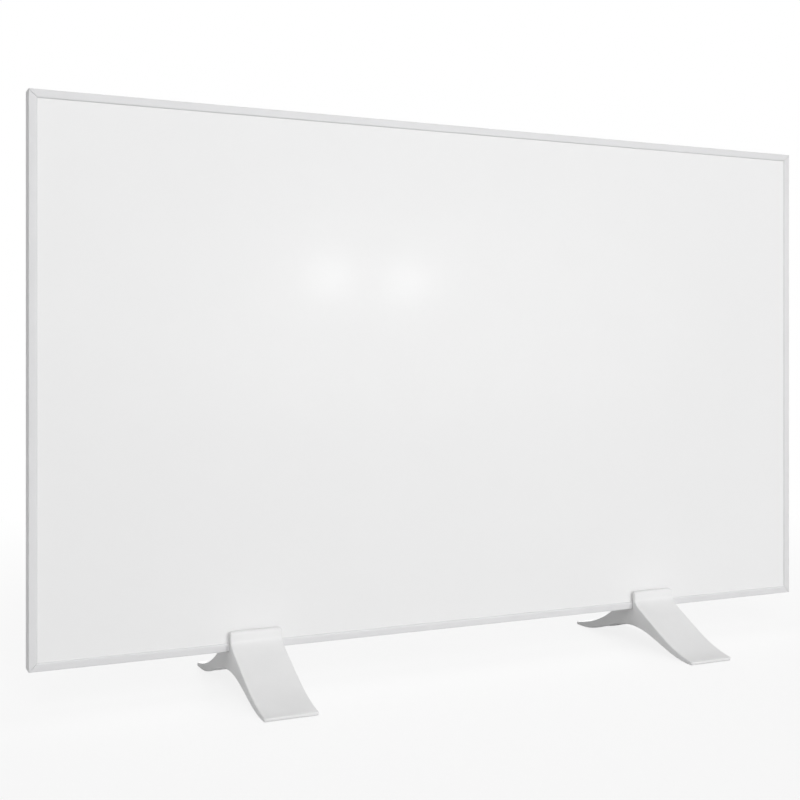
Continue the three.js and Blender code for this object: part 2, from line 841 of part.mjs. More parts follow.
function glandSeal() {
  const bore = glandBoreRadius - glandSealSqueeze;
  return turned([
    [bore, glandSealStart],
    [glandSealRadius, glandSealStart],
    [glandSealRadius, glandSealStart + glandSealLength],
    [bore, glandSealStart + glandSealLength],
    [bore, glandSealStart],
  ]);
}

function cableGland() {
  const gland = groupAt(glandX, glandY, -boxHeight / 2);
  gland.rotation.x = -Math.PI / 2;
  gland.add(
    piece('gland_body', glandBody(), 'greyPlastic'),
    piece('gland_locknut', glandLocknut(), 'greyPlastic'),
    piece('gland_nut', glandNut(), 'greyPlastic'),
    piece('gland_seal', glandSeal(), 'rubber'),
  );
  return gland;
}

// ---------------------------------------------------------------- rocker switch

function switchHousing() {
  const top = coverTopY + switchBezelHeight;
  const bottom = top - switchBodyDepth;
  const pivotY = top - rockerPivotDepth;
  const blades = [-1, 1].map((side) => prism('xz',
    centredRectangle(bladeWidth, bladeThickness, switchX, side * switchBladeZ),
    bottom - switchBladeLength, bottom + overrun));
  return cut(
    join(
      prism('xz', roundedRectangle(...switchBezel, switchBezelCorner, switchX, 0), coverTopY, top),
      prism('xz', centredRectangle(...switchBody, switchX, 0), bottom, top),
      ...blades,
    ),
    prism('xz', centredRectangle(...switchMouth, switchX, 0),
      top - switchMouthDepth, top + overrun),
    prism('yz', circle(trunnionRadius + seatGap, pivotY, 0),
      switchX - switchBody[0], switchX + switchBody[0]),
  );
}

// The rocker about its own pivot, level, with its trunnions.
function rocker() {
  const half = rockerLength / 2;
  const skirt = half - rockerSkirtInset;
  const keel = half * rockerKeelShare;
  const outline = new THREE.Shape([
    [rockerEndHeight, -half],
    [rockerMiddleHeight, 0],
    [rockerEndHeight, half],
    [-rockerSkirt, skirt],
    [-rockerKeel, keel],
    [-rockerKeel, -keel],
    [-rockerSkirt, -skirt],
  ].map(([y, z]) => new THREE.Vector2(y, z)));
  const pinReach = (switchBody[0] - seatGap) / 2;
  return join(
    prism('yz', outline, -rockerWidth / 2, rockerWidth / 2),
    prism('yz', circle(trunnionRadius), -pinReach, pinReach),
  );
}

function terminalBox() {
  const box = groupAt(boxCentreX, 0, boxCentreZ);
  const cutouts = [-1, 1].map((side) => {
    const cutout = piece(side < 0 ? 'thermal_cutout_left' : 'thermal_cutout_right',
      thermalCutout(), 'ceramic');
    cutout.position.set(side * cutoutSpacing / 2, 0, side * cutoutStagger);
    return cutout;
  });
  const nut = piece('earth_nut', earthNut(), 'brass');
  nut.position.set(studX, 0, studZ);
  const stud = piece('earth_stud', earthStud(), 'zincSteel');
  stud.position.set(studX, 0, studZ);
  const screws = bossPlaces().map(([x, z], i) => {
    const screw = piece(`cover_screw_${i + 1}`,
      panHeadScrew(coverScrewRadius, coverScrewLength), 'zincSteel');
    screw.position.set(x, coverTopY + screwSeat, z);
    return screw;
  });
  const rockerMesh = piece('rocker', rocker(), 'blackPlastic');
  rockerMesh.position.set(switchX, coverTopY + switchBezelHeight - rockerPivotDepth, 0);
  rockerMesh.rotation.x = THREE.MathUtils.degToRad(-rockerTilt);
  box.add(
    piece('terminal_box_base', boxBase(), 'whitePlastic'),
    piece('terminal_box_cover', boxCover(), 'whitePlastic'),
    piece('terminal_block', terminalBlock(), 'ceramic'),
    stud,
    nut,
    ...cutouts,
    piece('lead_left', lead(-1), 'brownWire'),
    piece('lead_right', lead(1), 'blueWire'),
    ...screws,
    piece('switch_housing', switchHousing(), 'blackPlastic'),
    rockerMesh,
    cableGland(),
  );
  return box;
}

// ---------------------------------------------------------------- feet
// A foot's outline lies in the Y-Z plane of the whole object.

const slotFrontY = panelFrontY - slotGap;
const slotBackY = panelFrontY + panelDepth + slotGap;
const slotFloorZ = panelLift - slotFloorGap;
const lipTopZ = panelLift + lipHeight;
const lipFrontY = slotFrontY - lipThickness;
const lipBackY = slotBackY + lipThickness;
const toeEnd = footLength / 2;
const toeTopZ = soleHeight + toeThickness;
const toeMiddleZ = soleHeight + toeThickness / 2;
const noseY = toeEnd - toeNose;

function archZ(y) {
  const turn = (Math.PI * (y - archCentreY)) / archHalf;
  return soleHeight + ((archHeight - soleHeight) / 2) * (1 + Math.cos(turn));
}

// The upper side, from the rear toe over both lips to the front toe.
function footTop(path) {
  const rearBend = new THREE.Vector2(lipBackY + rearBendReach, panelLift + rearBendRise);
  const frontBend = new THREE.Vector2(lipFrontY - frontBendReach, panelLift + frontBendRise);
  const lipBendZ = panelLift + lipBendRise;
  const crown = lipThickness * lipCrown;
  const rearRun = noseY - rearBend.x;
  const frontRun = noseY + frontBend.x;
  const rearDrop = rearBend.y - toeTopZ;
  const frontDrop = frontBend.y - toeTopZ;
  path.bezierCurveTo(
    noseY - rearRun * rearToeHandle[0], toeTopZ + rearDrop * rearToeHandle[1],
    rearBend.x + rearRun * rearBendHandle[0], toeTopZ + rearDrop * rearBendHandle[1],
    rearBend.x, rearBend.y,
  );
  path.quadraticCurveTo(
    lipBackY + rearLipHandle[0], panelLift + rearLipHandle[1],
    lipBackY, lipBendZ,
  );
  path.lineTo(lipBackY, lipTopZ - lipBevel);
  path.quadraticCurveTo(lipBackY, lipTopZ, lipBackY - crown, lipTopZ);
  path.lineTo(lipFrontY + crown, lipTopZ);
  path.quadraticCurveTo(lipFrontY, lipTopZ, lipFrontY, lipTopZ - lipBevel);
  path.lineTo(lipFrontY, lipBendZ);
  path.quadraticCurveTo(
    lipFrontY - frontLipHandle[0], panelLift + frontLipHandle[1],
    frontBend.x, frontBend.y,
  );
  path.bezierCurveTo(
    frontBend.x - frontRun * frontBendHandle[0], frontBend.y - frontDrop * frontBendHandle[1],
    -noseY + frontRun * frontToeHandle[0], toeTopZ + frontDrop * frontToeHandle[1],
    -noseY, toeTopZ,
  );
}

function footOutline() {
  const archSteps = 16;
  const outline = new THREE.Shape();
  outline.moveTo(toeEnd - toeRound, soleHeight);
  outline.quadraticCurveTo(toeEnd, soleHeight, toeEnd, toeMiddleZ);
  outline.quadraticCurveTo(toeEnd, toeTopZ, noseY, toeTopZ);
  footTop(outline);
  outline.quadraticCurveTo(-toeEnd, toeTopZ, -toeEnd, toeMiddleZ);
  outline.quadraticCurveTo(-toeEnd, soleHeight, -toeEnd + toeRound, soleHeight);
  for (let i = 0; i <= archSteps; i += 1) {
    const y = archCentreY - archHalf + (2 * archHalf * i) / archSteps;
    outline.lineTo(y, archZ(y));
  }
  outline.closePath();
  return outline;
}

// The hollow under the foot: below its upper side by the shell's thickness, and below the
// slot's floor.
function hollowOutline() {
  const top = new THREE.Path();
  top.moveTo(noseY, toeTopZ);
  footTop(top);
  const upper = top.getPoints(arcSteps);
  const ceiling = slotFloorZ - footShell;
  const below = upper
    .map((point, i) => {
      const before = upper[Math.max(i - 1, 0)];
      const after = upper[Math.min(i + 1, upper.length - 1)];
      const along = after.clone().sub(before).normalize();
      return new THREE.Vector2(point.x - along.y * footShell, point.y + along.x * footShell);
    })
    .filter((point) => point.y > archZ(point.x) + footShell && point.y < ceiling);
  const rear = below.filter((point) => point.x > 0);
  const front = below.filter((point) => point.x < 0);
  const rearTop = rear[rear.length - 1];
  const frontTop = front[0];
  return new THREE.Shape([
    new THREE.Vector2(rear[0].x, -overrun),
    ...rear,
    new THREE.Vector2(rearTop.x - (ceiling - rearTop.y), ceiling),
    new THREE.Vector2(frontTop.x + (ceiling - frontTop.y), ceiling),
    ...front,
    new THREE.Vector2(front[front.length - 1].x, -overrun),
  ]);
}

// Cells between the ribs: two across and five along the foot.
function hollowCells() {
  const hollow = toSolid(prism('yz', hollowOutline(), -footWidth, footWidth));
  const across = footWidth / 2 - footShell;
  const stops = ribStops.map((share) => share * toeEnd);
  const cells = [];
  for (const side of [-1, 1]) {
    for (let i = 1; i < stops.length; i += 1) {
      const plan = rectangle(
        side < 0 ? -across : footRib / 2, stops[i - 1] + footRib / 2,
        side < 0 ? -footRib / 2 : across, stops[i] - footRib / 2,
      );
      const column = prism('xy', plan, -2 * overrun, lipTopZ);
      cells.push(toGeometry(hollow.intersect(toSolid(column))));
    }
  }
  return cells;
}

// Rounded side edges come from the extrusion's bevel, which eats into the outline.
function footBlank() {
  const geometry = new THREE.ExtrudeGeometry(footOutline(), {
    depth: footWidth - 2 * footEdge,
    bevelEnabled: true,
    bevelThickness: footEdge,
    bevelSize: footEdge,
    bevelOffset: -footEdge,
    bevelSegments: 1,
    curveSegments: footCurveSteps,
  });
  const toObject = new THREE.Matrix4().makeBasis(
    new THREE.Vector3(0, 1, 0),
    new THREE.Vector3(0, 0, 1),
    new THREE.Vector3(1, 0, 0),
  );
  geometry.applyMatrix4(toObject);
  geometry.translate(-footWidth / 2 + footEdge, 0, 0);
  return geometry;
}

const thumbScrewZ = panelLift + thumbScrewRise;
const insertRadius = thumbShankRadius + seatGap + insertWall;
const padY = toeEnd - padInset - padLength / 2;

function footBody() {
  const planned = prism('xy', roundedRectangle(footWidth, footLength, toeCorner),
    -overrun, lipTopZ + overrun);
  const lipFace = prism('xz',
    roundedRectangle(footWidth, 2 * lipTopZ, lipCorner), -footLength, footLength);
  const slot = prism('yz', rectangle(slotFrontY, slotFloorZ, slotBackY, lipTopZ + overrun),
    -footWidth, footWidth);
  const insertHole = prism('xz', circle(insertRadius + seatGap / 2, 0, thumbScrewZ),
    slotBackY - overrun, lipBackY + overrun);
  const spotFace = prism('xz', circle(thumbHeadRadius + thumbClearance, 0, thumbScrewZ),
    lipBackY, lipBackY + 2 * thumbHeadLength);
  const padSeats = [-1, 1].map((end) => prism('xy',
    roundedRectangle(padWidth + seatGap, padLength + seatGap, padCorner, 0, end * padY),
    -overrun, padThickness));
  return cut(common(footBlank(), planned, lipFace), slot, insertHole, spotFace, ...padSeats,
    ...hollowCells());
}

function threadedInsert() {
  return prism('xz',
    withHoles(circle(insertRadius, 0, thumbScrewZ),
      circle(thumbShankRadius + seatGap, 0, thumbScrewZ)),
    lipBackY - insertLength, lipBackY);
}

// The thumb screw about its own axis: y = 0 is the back of the rear lip.
function thumbScrew() {
  const outline = new THREE.Shape();
  const steps = thumbLobes * thumbLobeSteps;
  for (let i = 0; i < steps; i += 1) {
    const angle = (2 * Math.PI * i) / steps;
    const radius = thumbHeadRadius - thumbLobeDepth * (1 - Math.cos(thumbLobes * angle));
    const x = radius * Math.cos(angle);
    const z = radius * Math.sin(angle);
    if (i === 0) outline.moveTo(x, z);
    else outline.lineTo(x, z);
  }
  outline.closePath();
  const tip = panelFrontY + rearFaceY + seatGap - lipBackY;
  return join(
    prism('xz', outline, thumbHeadGap, thumbHeadGap + thumbHeadLength),
    prism('xz', circle(thumbShankRadius), tip, thumbHeadGap + overrun),
  );
}

function foot(side, x) {
  const group = groupAt(x, 0, 0);
  const pads = [['front', -1], ['rear', 1]].map(([end, sign]) => piece(`foot_pad_${end}_${side}`,
    prism('xy', roundedRectangle(padWidth, padLength, padCorner, 0, sign * padY), 0, padThickness),
    'rubber'));
  const screw = piece(`thumb_screw_${side}`, thumbScrew(), 'whitePlastic');
  screw.position.set(0, lipBackY, thumbScrewZ);
  group.add(
    piece(`foot_${side}`, footBody(), 'whitePlastic'),
    piece(`threaded_insert_${side}`, threadedInsert(), 'brass'),
    screw,
    ...pads,
  );
  return group;
}

// ---------------------------------------------------------------- whole object

const panel = groupAt(0, panelFrontY, panelLift);
panel.add(...sheets(), ...frame(), ...wallBrackets(), terminalBox());

const heater = new THREE.Group();
heater.add(panel, foot('left', footLeftX), foot('right', footRightX));

export default heater;
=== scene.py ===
"""Looks of the infrared panel heater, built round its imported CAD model.

Sizes in the mesh code are millimetres in the row frame: X along the panel, -Y in front of it,
Z up from the floor. Meshes are scaled to metres when they are made.
"""

import math

import bmesh
import bpy
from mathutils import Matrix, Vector


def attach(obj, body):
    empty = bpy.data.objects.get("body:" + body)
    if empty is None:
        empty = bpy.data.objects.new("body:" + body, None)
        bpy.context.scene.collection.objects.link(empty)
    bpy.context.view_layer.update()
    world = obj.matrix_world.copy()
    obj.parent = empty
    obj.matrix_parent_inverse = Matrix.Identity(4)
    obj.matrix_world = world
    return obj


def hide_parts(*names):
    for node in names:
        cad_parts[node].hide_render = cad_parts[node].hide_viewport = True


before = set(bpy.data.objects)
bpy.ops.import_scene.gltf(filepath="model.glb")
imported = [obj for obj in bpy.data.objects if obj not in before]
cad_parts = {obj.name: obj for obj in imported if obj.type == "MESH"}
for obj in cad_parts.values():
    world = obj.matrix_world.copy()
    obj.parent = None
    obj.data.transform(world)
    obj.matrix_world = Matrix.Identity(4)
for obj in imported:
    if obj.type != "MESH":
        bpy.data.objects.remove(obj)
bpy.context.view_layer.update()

MM = 0.001
OVERRUN = 1  # of a cutter past the face that it opens
SHARP = math.radians(34)
LEAST_SHARE = 0.3  # limits how far a sharp corner moves
NOISE_RANGE = (0.3, 0.7)  # most of a noise texture lies in here
GLOSS_FINENESS = 7  # gloss varies this many times finer than tone
COAT_ROUGHNESS = 0.11

# -------- sizes shared with the part

PANEL_WIDTH = 1010
PANEL_HEIGHT = 600
PANEL_DEPTH = 20
PANEL_LIFT = 46
PANEL_FRONT = -5
REAR_FACE = 14.3

FRAME_FACE = 9
FRAME_WALL = 1.5
CHAMBER_FRONT = 4
CHAMBER_BACK = 18.8
CHAMBER_INNER = 8.7
SCREW_INSET = 25  # corner screws from the frame's corner
SCREW_DEPTH = 4.5  # and from the frame's outer side
SCREW_SEAT = 0.03
CORNER_SCREW_RADIUS = 1.3
CORNER_SCREW_LENGTH = 8

BRACKET_PLACES = {
    "bottom_left": (-400, 136),
    "bottom_right": (400, 136),
    "top_left": (-400, 556),
    "top_right": (400, 556),
}
BRACKET_HEIGHT = 50
BRACKET_REACH = 30  # end of a flange from the bracket's middle
BRACKET_WALL = 17.25  # middle of a side wall from the bracket's middle
BRACKET_RISE = 10.5
BRACKET_SHEET = 1.5
KEYHOLE_RADIUS = 5
KEYHOLE_SLOT_RADIUS = 2.6
KEYHOLE_RUN = 14

BOX_MIDDLE = 150
BOX_WIDTH = 110
BOX_HEIGHT = 70
BOX_CORNER = 7
BOX_WALL = 2
BOSS_INSET = 7
BOSS_RADIUS = 5.2
COVER_SEAT = 40.29
COVER_TOP = 42.79
COVER_RIB = 1.5
COVER_RIB_X = 51.95
COVER_RIB_LENGTH = 45
COVER_RIB_DEPTH = 3
COVER_SCREW_RADIUS = 1.2
COVER_SCREW_LENGTH = 12
SCREW_HOLE_RADIUS = 1.5
LEAD_HOLE_RADIUS = 12
STUD_HOLE_RADIUS = 4.3
STUD_HOLE = (30, 133)

SWITCH_X = 30
BEZEL = (15, 21, 1.2)  # width, height and corner, as in the outlines below
BEZEL_HEIGHT = 1.8
SWITCH_BODY = (12.6, 18.8, 0.4)
SWITCH_BODY_DEPTH = 14
SWITCH_HOLE = (13.2, 19.4, 0.4)
SWITCH_MOUTH = (11.2, 17.4, 0.5)
SWITCH_MOUTH_DEPTH = 8.8
BLADE = (4.8, 0.8, 0.2)
BLADE_LENGTH = 6
BLADE_Z = 5.64  # blades above and below the switch's middle
PIVOT_DEPTH = 3.6  # rocker's axis below the top of the bezel
PIVOT_HOLE_RADIUS = 1.5
PIVOT_HOLE_REACH = 9
PIN_RADIUS = 1.2
PIN_REACH = 6.15
ROCKER_LENGTH = 15
ROCKER_WIDTH = 10.6
ROCKER_MIDDLE = 3.8  # face above the axis, in the middle
ROCKER_HOLLOW = 1.2  # and how much higher it is at the ends
ROCKER_TILT = 10

GLAND = (-32, 28.3)
GLAND_WALL = BOX_MIDDLE - BOX_HEIGHT / 2
GLAND_FLATS = 20
GLAND_FLANGE = 4
GLAND_BORE_RADIUS = 4.6
GLAND_HOLE_RADIUS = 8.3
THREAD_RADIUS = 8
LOCKNUT = (2.3, 6.3)  # above the underside of the box

FOOT_X = {"left": -262, "right": 274}
FOOT_WIDTH = 60
TOE_END = 125
TOE_TOP = 4.7
TOE_MIDDLE = 2.6
TOE_CORNER = 3
TOE_NOSE = 2  # rounding of the toe's upper edge, along the foot
TOE_ROUND = 2.5  # and of its lower edge
SOLE = 0.5
ARCH_HEIGHT = 24.5
ARCH_HALF = 115
ARCH_MIDDLE = -5
SLOT_FRONT = -5.3
SLOT_BACK = 15.3
SLOT_FLOOR = 45.8
LIP_TOP = 68.4
LIP_FRONT = -10.3
LIP_BACK = 20.3
LIP_BEVEL = 4.6
LIP_CROWN = 4
LIP_CORNER = 3.5
LIP_BEND = PANEL_LIFT + 12  # upper end of the curve from a leg to its lip
REAR_BEND = (LIP_BACK + 8.7, PANEL_LIFT - 1.8)
REAR_RISE = PANEL_LIFT + 5.7  # handle of the curve from the bend to the lip
FRONT_BEND = (LIP_FRONT - 11.7, PANEL_LIFT + 0.8)
FRONT_RISE = PANEL_LIFT + 6.95
# Handles of the legs' long curves, as shares of their run and their height
REAR_TOE_HANDLE = (0.39, 0.12)
REAR_BEND_HANDLE = (0.23, 0.53)
FRONT_TOE_HANDLE = (0.36, 0.12)
FRONT_BEND_HANDLE = (0.42, 0.53)
FOOT_SHELL = 3.2
FOOT_RIB = 2.4
RIB_STOPS = [-92.5, -53.75, -20, 15, 47.5, 87.5]
PAD_SIZE = (44, 11)
PAD_CORNER = 2
PAD_THICKNESS = 1.6
PAD_Y = 115.5
SEAT_GAP = 0.3
SCREW_RISE = 10  # thumb screw above the underside of the frame
INSERT_HOLE_RADIUS = 3.75
SPOT_FACE_RADIUS = 5.8
SPOT_FACE_LENGTH = 16
KNOB_GAP = 0.4
KNOB_LENGTH = 7
KNOB_LOBES = 10

# -------- detail added to the part

OUTER_ROUND = 0.8  # frame's outer edges
REAR_ROUND = 0.35  # frame's rim behind the rear plate
LIP_ROUND = 2.8  # frame's inner lip, where it rolls down to the front plate
LIP_EASE = 0.3
LIP_HEEL = 0.15
MITRE_STEPS = [(0.34, 0.1), (0.12, 0.18), (0, 0.42)]  # (inset, distance from the mitre)

# (radius, height) round the head of a screw
SCREW_HEAD = [(2.55, 0), (2.8, 0.2), (2.8, 0.5), (2.68, 0.85), (2.35, 1.2), (1.8, 1.45),
              (1.0, 1.57), (0.3, 1.6)]
SCREW_TIP_SHARE = 0.4  # of the shank's radius
CROSS_REACH = 1.55
CROSS_HALF = 0.3
CROSS_TAPER = 0.35
CROSS_FLOOR = 0.25
CROSS_TOP = 1.8

BRACKET_BEND = 2.2
BRACKET_EDGE = 0.25
BRACKET_SOFTNESS = 0.18
WELD_X = 24
WELD_Z = 15
WELD_DIMPLE = [(2.6, 3), (2.5, 1.5), (1.4, 1.2)]  # (radius, height above the plate)

BOX_EDGE = 0.35
BOX_BACK_EDGE = 0.4
BOSS_GAP = 0.02  # bosses below the cover
BOSS_MARGIN = 0.6  # and inside the box's outline
HOLE_FLARE = 0.1  # screw holes widen by this near the cover's face
HOLE_FLARE_DEPTH = 0.5
COVER_RIB_CORNER = 0.3
# (below the top, inset) of the cover's rounded edge, and (above the cover, inset) of the bezel's
COVER_ROUND = [(1.4, 0), (0.85, 0.16), (0.38, 0.5), (0.1, 0.98), (0, 1.6)]
BEZEL_ROUND = [(0, 0), (1.0, 0.1), (1.55, 0.45), (BEZEL_HEIGHT, 1.1)]
# Back of the rocker as (height above the axis, distance along it)
ROCKER_BACK = [(-1.5, 6.2), (-3.6, 3), (-3.6, -3), (-1.5, -6.2)]
ROCKER_EDGE = 0.5
PIN_EDGE = 0.2
MARK_ALONG = 4.3
MARK_BAR = (0.6, 3, 0.15)
MARK_RING = (1.5, 0.95)
MARK_LIFTS = (-0.05, 0.03)  # underside and top of a mark above the rocker's face

# Gland, upwards from the underside of the box: (radius, height), but (height, radius) of the
# nut's grip and dome
GLAND_TUBE = [(7.4, -12), (7.5, -11.7), (7.5, -4), (8, -4), (8, 1.4)]
GLAND_BORE = (-15, 13)  # ends of the cutters of its bore and of the locknut's
LOCKNUT_BORE = (1, 8)
HEX_CORNER = 1.2
FLANGE_EDGE = 0.35
LOCKNUT_EDGE = 0.3
THREAD_TURNS = 8
THREAD_START = 1.9
THREAD_DEPTH = 0.4
NUT_GRIP = [(-4.3, 10.0), (-4.7, 10.4), (-13.4, 10.4), (-14.2, 10.1)]
NUT_DOME = [(-15.4, 9.75), (-17.4, 9.0), (-19.4, 8.0), (-21.1, 7.1), (-22.0, 6.6), (-22.3, 6.1)]
NUT_BORE = [(7.8, -3), (7.8, -12.3), (6.7, -12.3), (6.7, -19.6), (4.9, -19.6), (4.9, -23)]
NUT_LOBES = 16
NUT_LOBE_DEPTH = 0.28
SEAL_OUTSIDE = [(5.9, -12.3), (6.4, -12.7), (6.4, -18.9), (5.9, -19.3)]
SEAL_BORE = [(4.6, -12), (4.2, -12.6), (4.2, -19), (4.6, -20)]

FOOT_EDGE = 1.5
LONGEST_SIDE = 2.2  # of the foot's outline
LEG_STEP = 0.6  # between the points that the cells' ceiling follows
CELL_STEPS = 14
CELL_BELOW = 3  # cells reach this far below the floor
SOLE_DIP = 0.5  # a ceiling dips at most this far below the sole
DEEP_CELL = 4
DEEP_CORNER = 1.4
SHALLOW_CORNER = 0.4
PAD_EDGES = (0.4, 0.2)
GROOVE = (38, 0.9, 0.4)
GROOVE_DEPTH = 0.35
GROOVE_PITCH = 3
# Knob of a thumb screw as (depth from its near or far end, radius, depth of its lobes), its
# dish as (depth from the far end, radius) and the shank's tip as (depth, radius)
KNOB_FRONT = [(0, 4.2, 0.25), (0.25, 4.75, 0.33), (0.8, 5.0, 0.35)]
KNOB_BACK = [(-1.0, 5.0, 0.35), (-0.45, 4.85, 0.33), (-0.1, 4.4, 0.25), (0, 3.9, 0.1)]
KNOB_DISH = [(-0.05, 3.2), (-0.6, 2.7)]
SHANK_TIP = [(14.6, 1.7), (15.0, 2.2)]
SHANK_RADIUS = 2.2
SHANK_STEP = 0.02  # before the knob
SHANK_TURNS = 6
SHANK_START = 15.3
SHANK_PITCH = 0.8
SHANK_ROOT = 1.9


# -------- outlines

def arc(centre, radius, start, end, steps):
    """Points on an arc from angle `start` to `end`, in degrees, ends included."""
    points = []
    for i in range(steps + 1):
        angle = math.radians(start + (end - start) * i / steps)
        points.append((centre[0] + radius * math.cos(angle), centre[1] + radius * math.sin(angle)))
    return points


def rounded_rectangle(width, height, radius, centre=(0, 0), steps=6):
    x, y = centre
    right, left = x + width / 2 - radius, x - width / 2 + radius
    top, bottom = y + height / 2 - radius, y - height / 2 + radius
    return (arc((right, bottom), radius, -90, 0, steps) + arc((right, top), radius, 0, 90, steps)
            + arc((left, top), radius, 90, 180, steps)
            + arc((left, bottom), radius, 180, 270, steps))


def circle(radius, centre=(0, 0), steps=48):
    return arc(centre, radius, 0, 360 * (steps - 1) / steps, steps - 1)


def lobed(radius, depth, lobes, centre=(0, 0), steps=8):
    """A circle with `lobes` hollows of twice `depth` pressed into it."""
    points = []
    for i in range(lobes * steps):
        angle = 2 * math.pi * i / (lobes * steps)
        reach = radius - depth * (1 - math.cos(lobes * angle))
        points.append((centre[0] + reach * math.cos(angle), centre[1] + reach * math.sin(angle)))
    return points


def hexagon(flats, corner, centre=(0, 0)):
    """A hexagon, `flats` wide along the first axis, with rounded corners."""
    points = []
    reach = (flats / 2 - corner) / math.cos(math.pi / 6)
    for i in range(6):
        angle = 60 * i + 30
        middle = (centre[0] + reach * math.cos(math.radians(angle)),
                  centre[1] + reach * math.sin(math.radians(angle)))
        points += arc(middle, corner, angle - 30, angle + 30, 3)
    return points


def quadratic(start, control, end, steps):
    points = []
    for i in range(1, steps + 1):
        t = i / steps
        points.append(tuple((1 - t) ** 2 * a + 2 * t * (1 - t) * b + t * t * c
                            for a, b, c in zip(start, control, end)))
    return points


def cubic(start, near_start, near_end, end, steps):
    points = []
    for i in range(1, steps + 1):
        t = i / steps
        s = 1 - t
        points.append(tuple(s ** 3 * a + 3 * s * s * t * b + 3 * s * t * t * c + t ** 3 * d
                            for a, b, c, d in zip(start, near_start, near_end, end)))
    return points


def divided(outline, longest):
    """The closed outline with no side longer than `longest`."""
    points = []
    for here, after in zip(outline, outline[1:] + outline[:1]):
        count = max(1, math.ceil(math.dist(here, after) / longest))
        for i in range(count):
            t = i / count
            points.append((here[0] + (after[0] - here[0]) * t, here[1] + (after[1] - here[1]) * t))
    return points


def inset(outline, distance):
    """The anticlockwise outline moved inwards by `distance`."""
    if distance == 0:
        return list(outline)
    points = []
    count = len(outline)
    for i, (x, y) in enumerate(outline):
        before, after = outline[i - 1], outline[(i + 1) % count]
        into = Vector((x - before[0], y - before[1])).normalized()
        out_of = Vector((after[0] - x, after[1] - y)).normalized()
        normal = Vector((-into.y - out_of.y, into.x + out_of.x))
        share = max(1 + into.dot(out_of), LEAST_SHARE)
        points.append((x + normal.x * distance / share, y + normal.y * distance / share))
    return points


# -------- solids

def place(plane, a, b, depth):
    """A point with outline coordinates a and b, and `depth` along the plane's normal."""
    return {"xy": (a, b, depth), "yz": (depth, a, b), "xz": (a, depth, b)}[plane]


def loft(rings):
    """A closed solid through rings of equally many points, with a flat cap on each end."""
    mesh = bmesh.new()
    made = [[mesh.verts.new([c * MM for c in point]) for point in ring] for ring in rings]
    count = len(rings[0])
    for low, high in zip(made, made[1:]):
        for i in range(count):
            j = (i + 1) % count
            mesh.faces.new((low[i], low[j], high[j], high[i]))
    for ring in (made[0], made[-1]):
        edges = [mesh.edges.get((ring[i - 1], ring[i])) for i in range(count)]
        bmesh.ops.triangle_fill(mesh, use_beauty=True, edges=edges)
    bmesh.ops.recalc_face_normals(mesh, faces=mesh.faces)
    return mesh


def fillet(edge, steps=4):
    """(inset, setback) pairs of a rounded edge, from the side face to the end face."""
    return [(edge * (1 - math.cos(math.pi / 2 * i / steps)),
             edge * (1 - math.sin(math.pi / 2 * i / steps))) for i in range(steps + 1)]


def prism(plane, outline, low, high, low_edge=0.0, high_edge=0.0):
    """An outline's solid from `low` to `high`, with rounded edges at its two ends."""
    rings = []
    for reach, back in reversed(fillet(low_edge) if low_edge else [(0, 0)]):
        rings.append([place(plane, a, b, low + back) for a, b in inset(outline, reach)])
    for reach, back in fillet(high_edge) if high_edge else [(0, 0)]:
        rings.append([place(plane, a, b, high - back) for a, b in inset(outline, reach)])
    return loft(rings)


def stacked(plane, levels):
    """A solid through (depth, outline) levels."""
    return loft([[place(plane, a, b, depth) for a, b in outline] for depth, outline in levels])


def turned(plane, profile, centre=(0, 0), steps=48):
    """A turned solid from (radius, depth) pairs; the radius is never zero."""
    return stacked(plane, [(depth, circle(radius, centre, steps)) for radius, depth in profile])


def to_object(name, mesh):
    data = bpy.data.meshes.new(name)
    mesh.to_mesh(data)
    mesh.free()
    made = bpy.data.objects.new(name, data)
    bpy.context.scene.collection.objects.link(made)
    return made


def apply_modifiers(made):
    """Turns what the modifiers make into the object's own mesh."""
    graph = bpy.context.evaluated_depsgraph_get()
    data = bpy.data.meshes.new_from_object(made.evaluated_get(graph))
    made.modifiers.clear()
    old = made.data
    made.data = data
    bpy.data.meshes.remove(old)


def taken_back(made):
    """The object's mesh, for more work on it. The object goes."""
    mesh = bmesh.new()
    mesh.from_mesh(made.data)
    bpy.data.meshes.remove(made.data)
    return mesh


def combine(mesh, operation, *tools):
    """The mesh joined with or cut by the tools."""
    body = to_object("body_of_a_piece", mesh)
    for i, tool_mesh in enumerate(tools):
        tool = to_object(f"tool_{i}", tool_mesh)
        modifier = body.modifiers.new("tool", "BOOLEAN")
        modifier.operation = operation
        modifier.solver = "EXACT"
        modifier.object = tool
        apply_modifiers(body)
        bpy.data.meshes.remove(tool.data)
    return taken_back(body)


def cut(mesh, *tools):
    return combine(mesh, "DIFFERENCE", *tools)


def join(mesh, *tools):
    return combine(mesh, "UNION", *tools)


def softened(mesh, width, segments=2):
    """The mesh with its sharp edges rounded."""
    made = to_object("softened_piece", mesh)
    bevel = made.modifiers.new("edges", "BEVEL")
    bevel.width = width * MM
    bevel.segments = segments
    bevel.limit_method = "ANGLE"
    bevel.angle_limit = SHARP
    apply_modifiers(made)
    return taken_back(made)


def add_piece(name, mesh, material, body, nodes):
    """Shows the mesh as a piece that rides on `body` and stands for the CAD nodes."""
    made = to_object(name, mesh)
    made.data.materials.append(material)
    made.data.shade_smooth()
    made.data.set_sharp_from_angle(angle=SHARP)
    weighted = made.modifiers.new("flat_faces_stay_flat", "WEIGHTED_NORMAL")
    weighted.keep_sharp = True
    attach(made, body)
    if nodes:
        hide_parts(*nodes)
    return made


# -------- materials

def new_material(name):
    material = bpy.data.materials.new(name)
    material.use_nodes = True
    nodes, links = material.node_tree.nodes, material.node_tree.links
    return nodes, links, nodes["Principled BSDF"], material


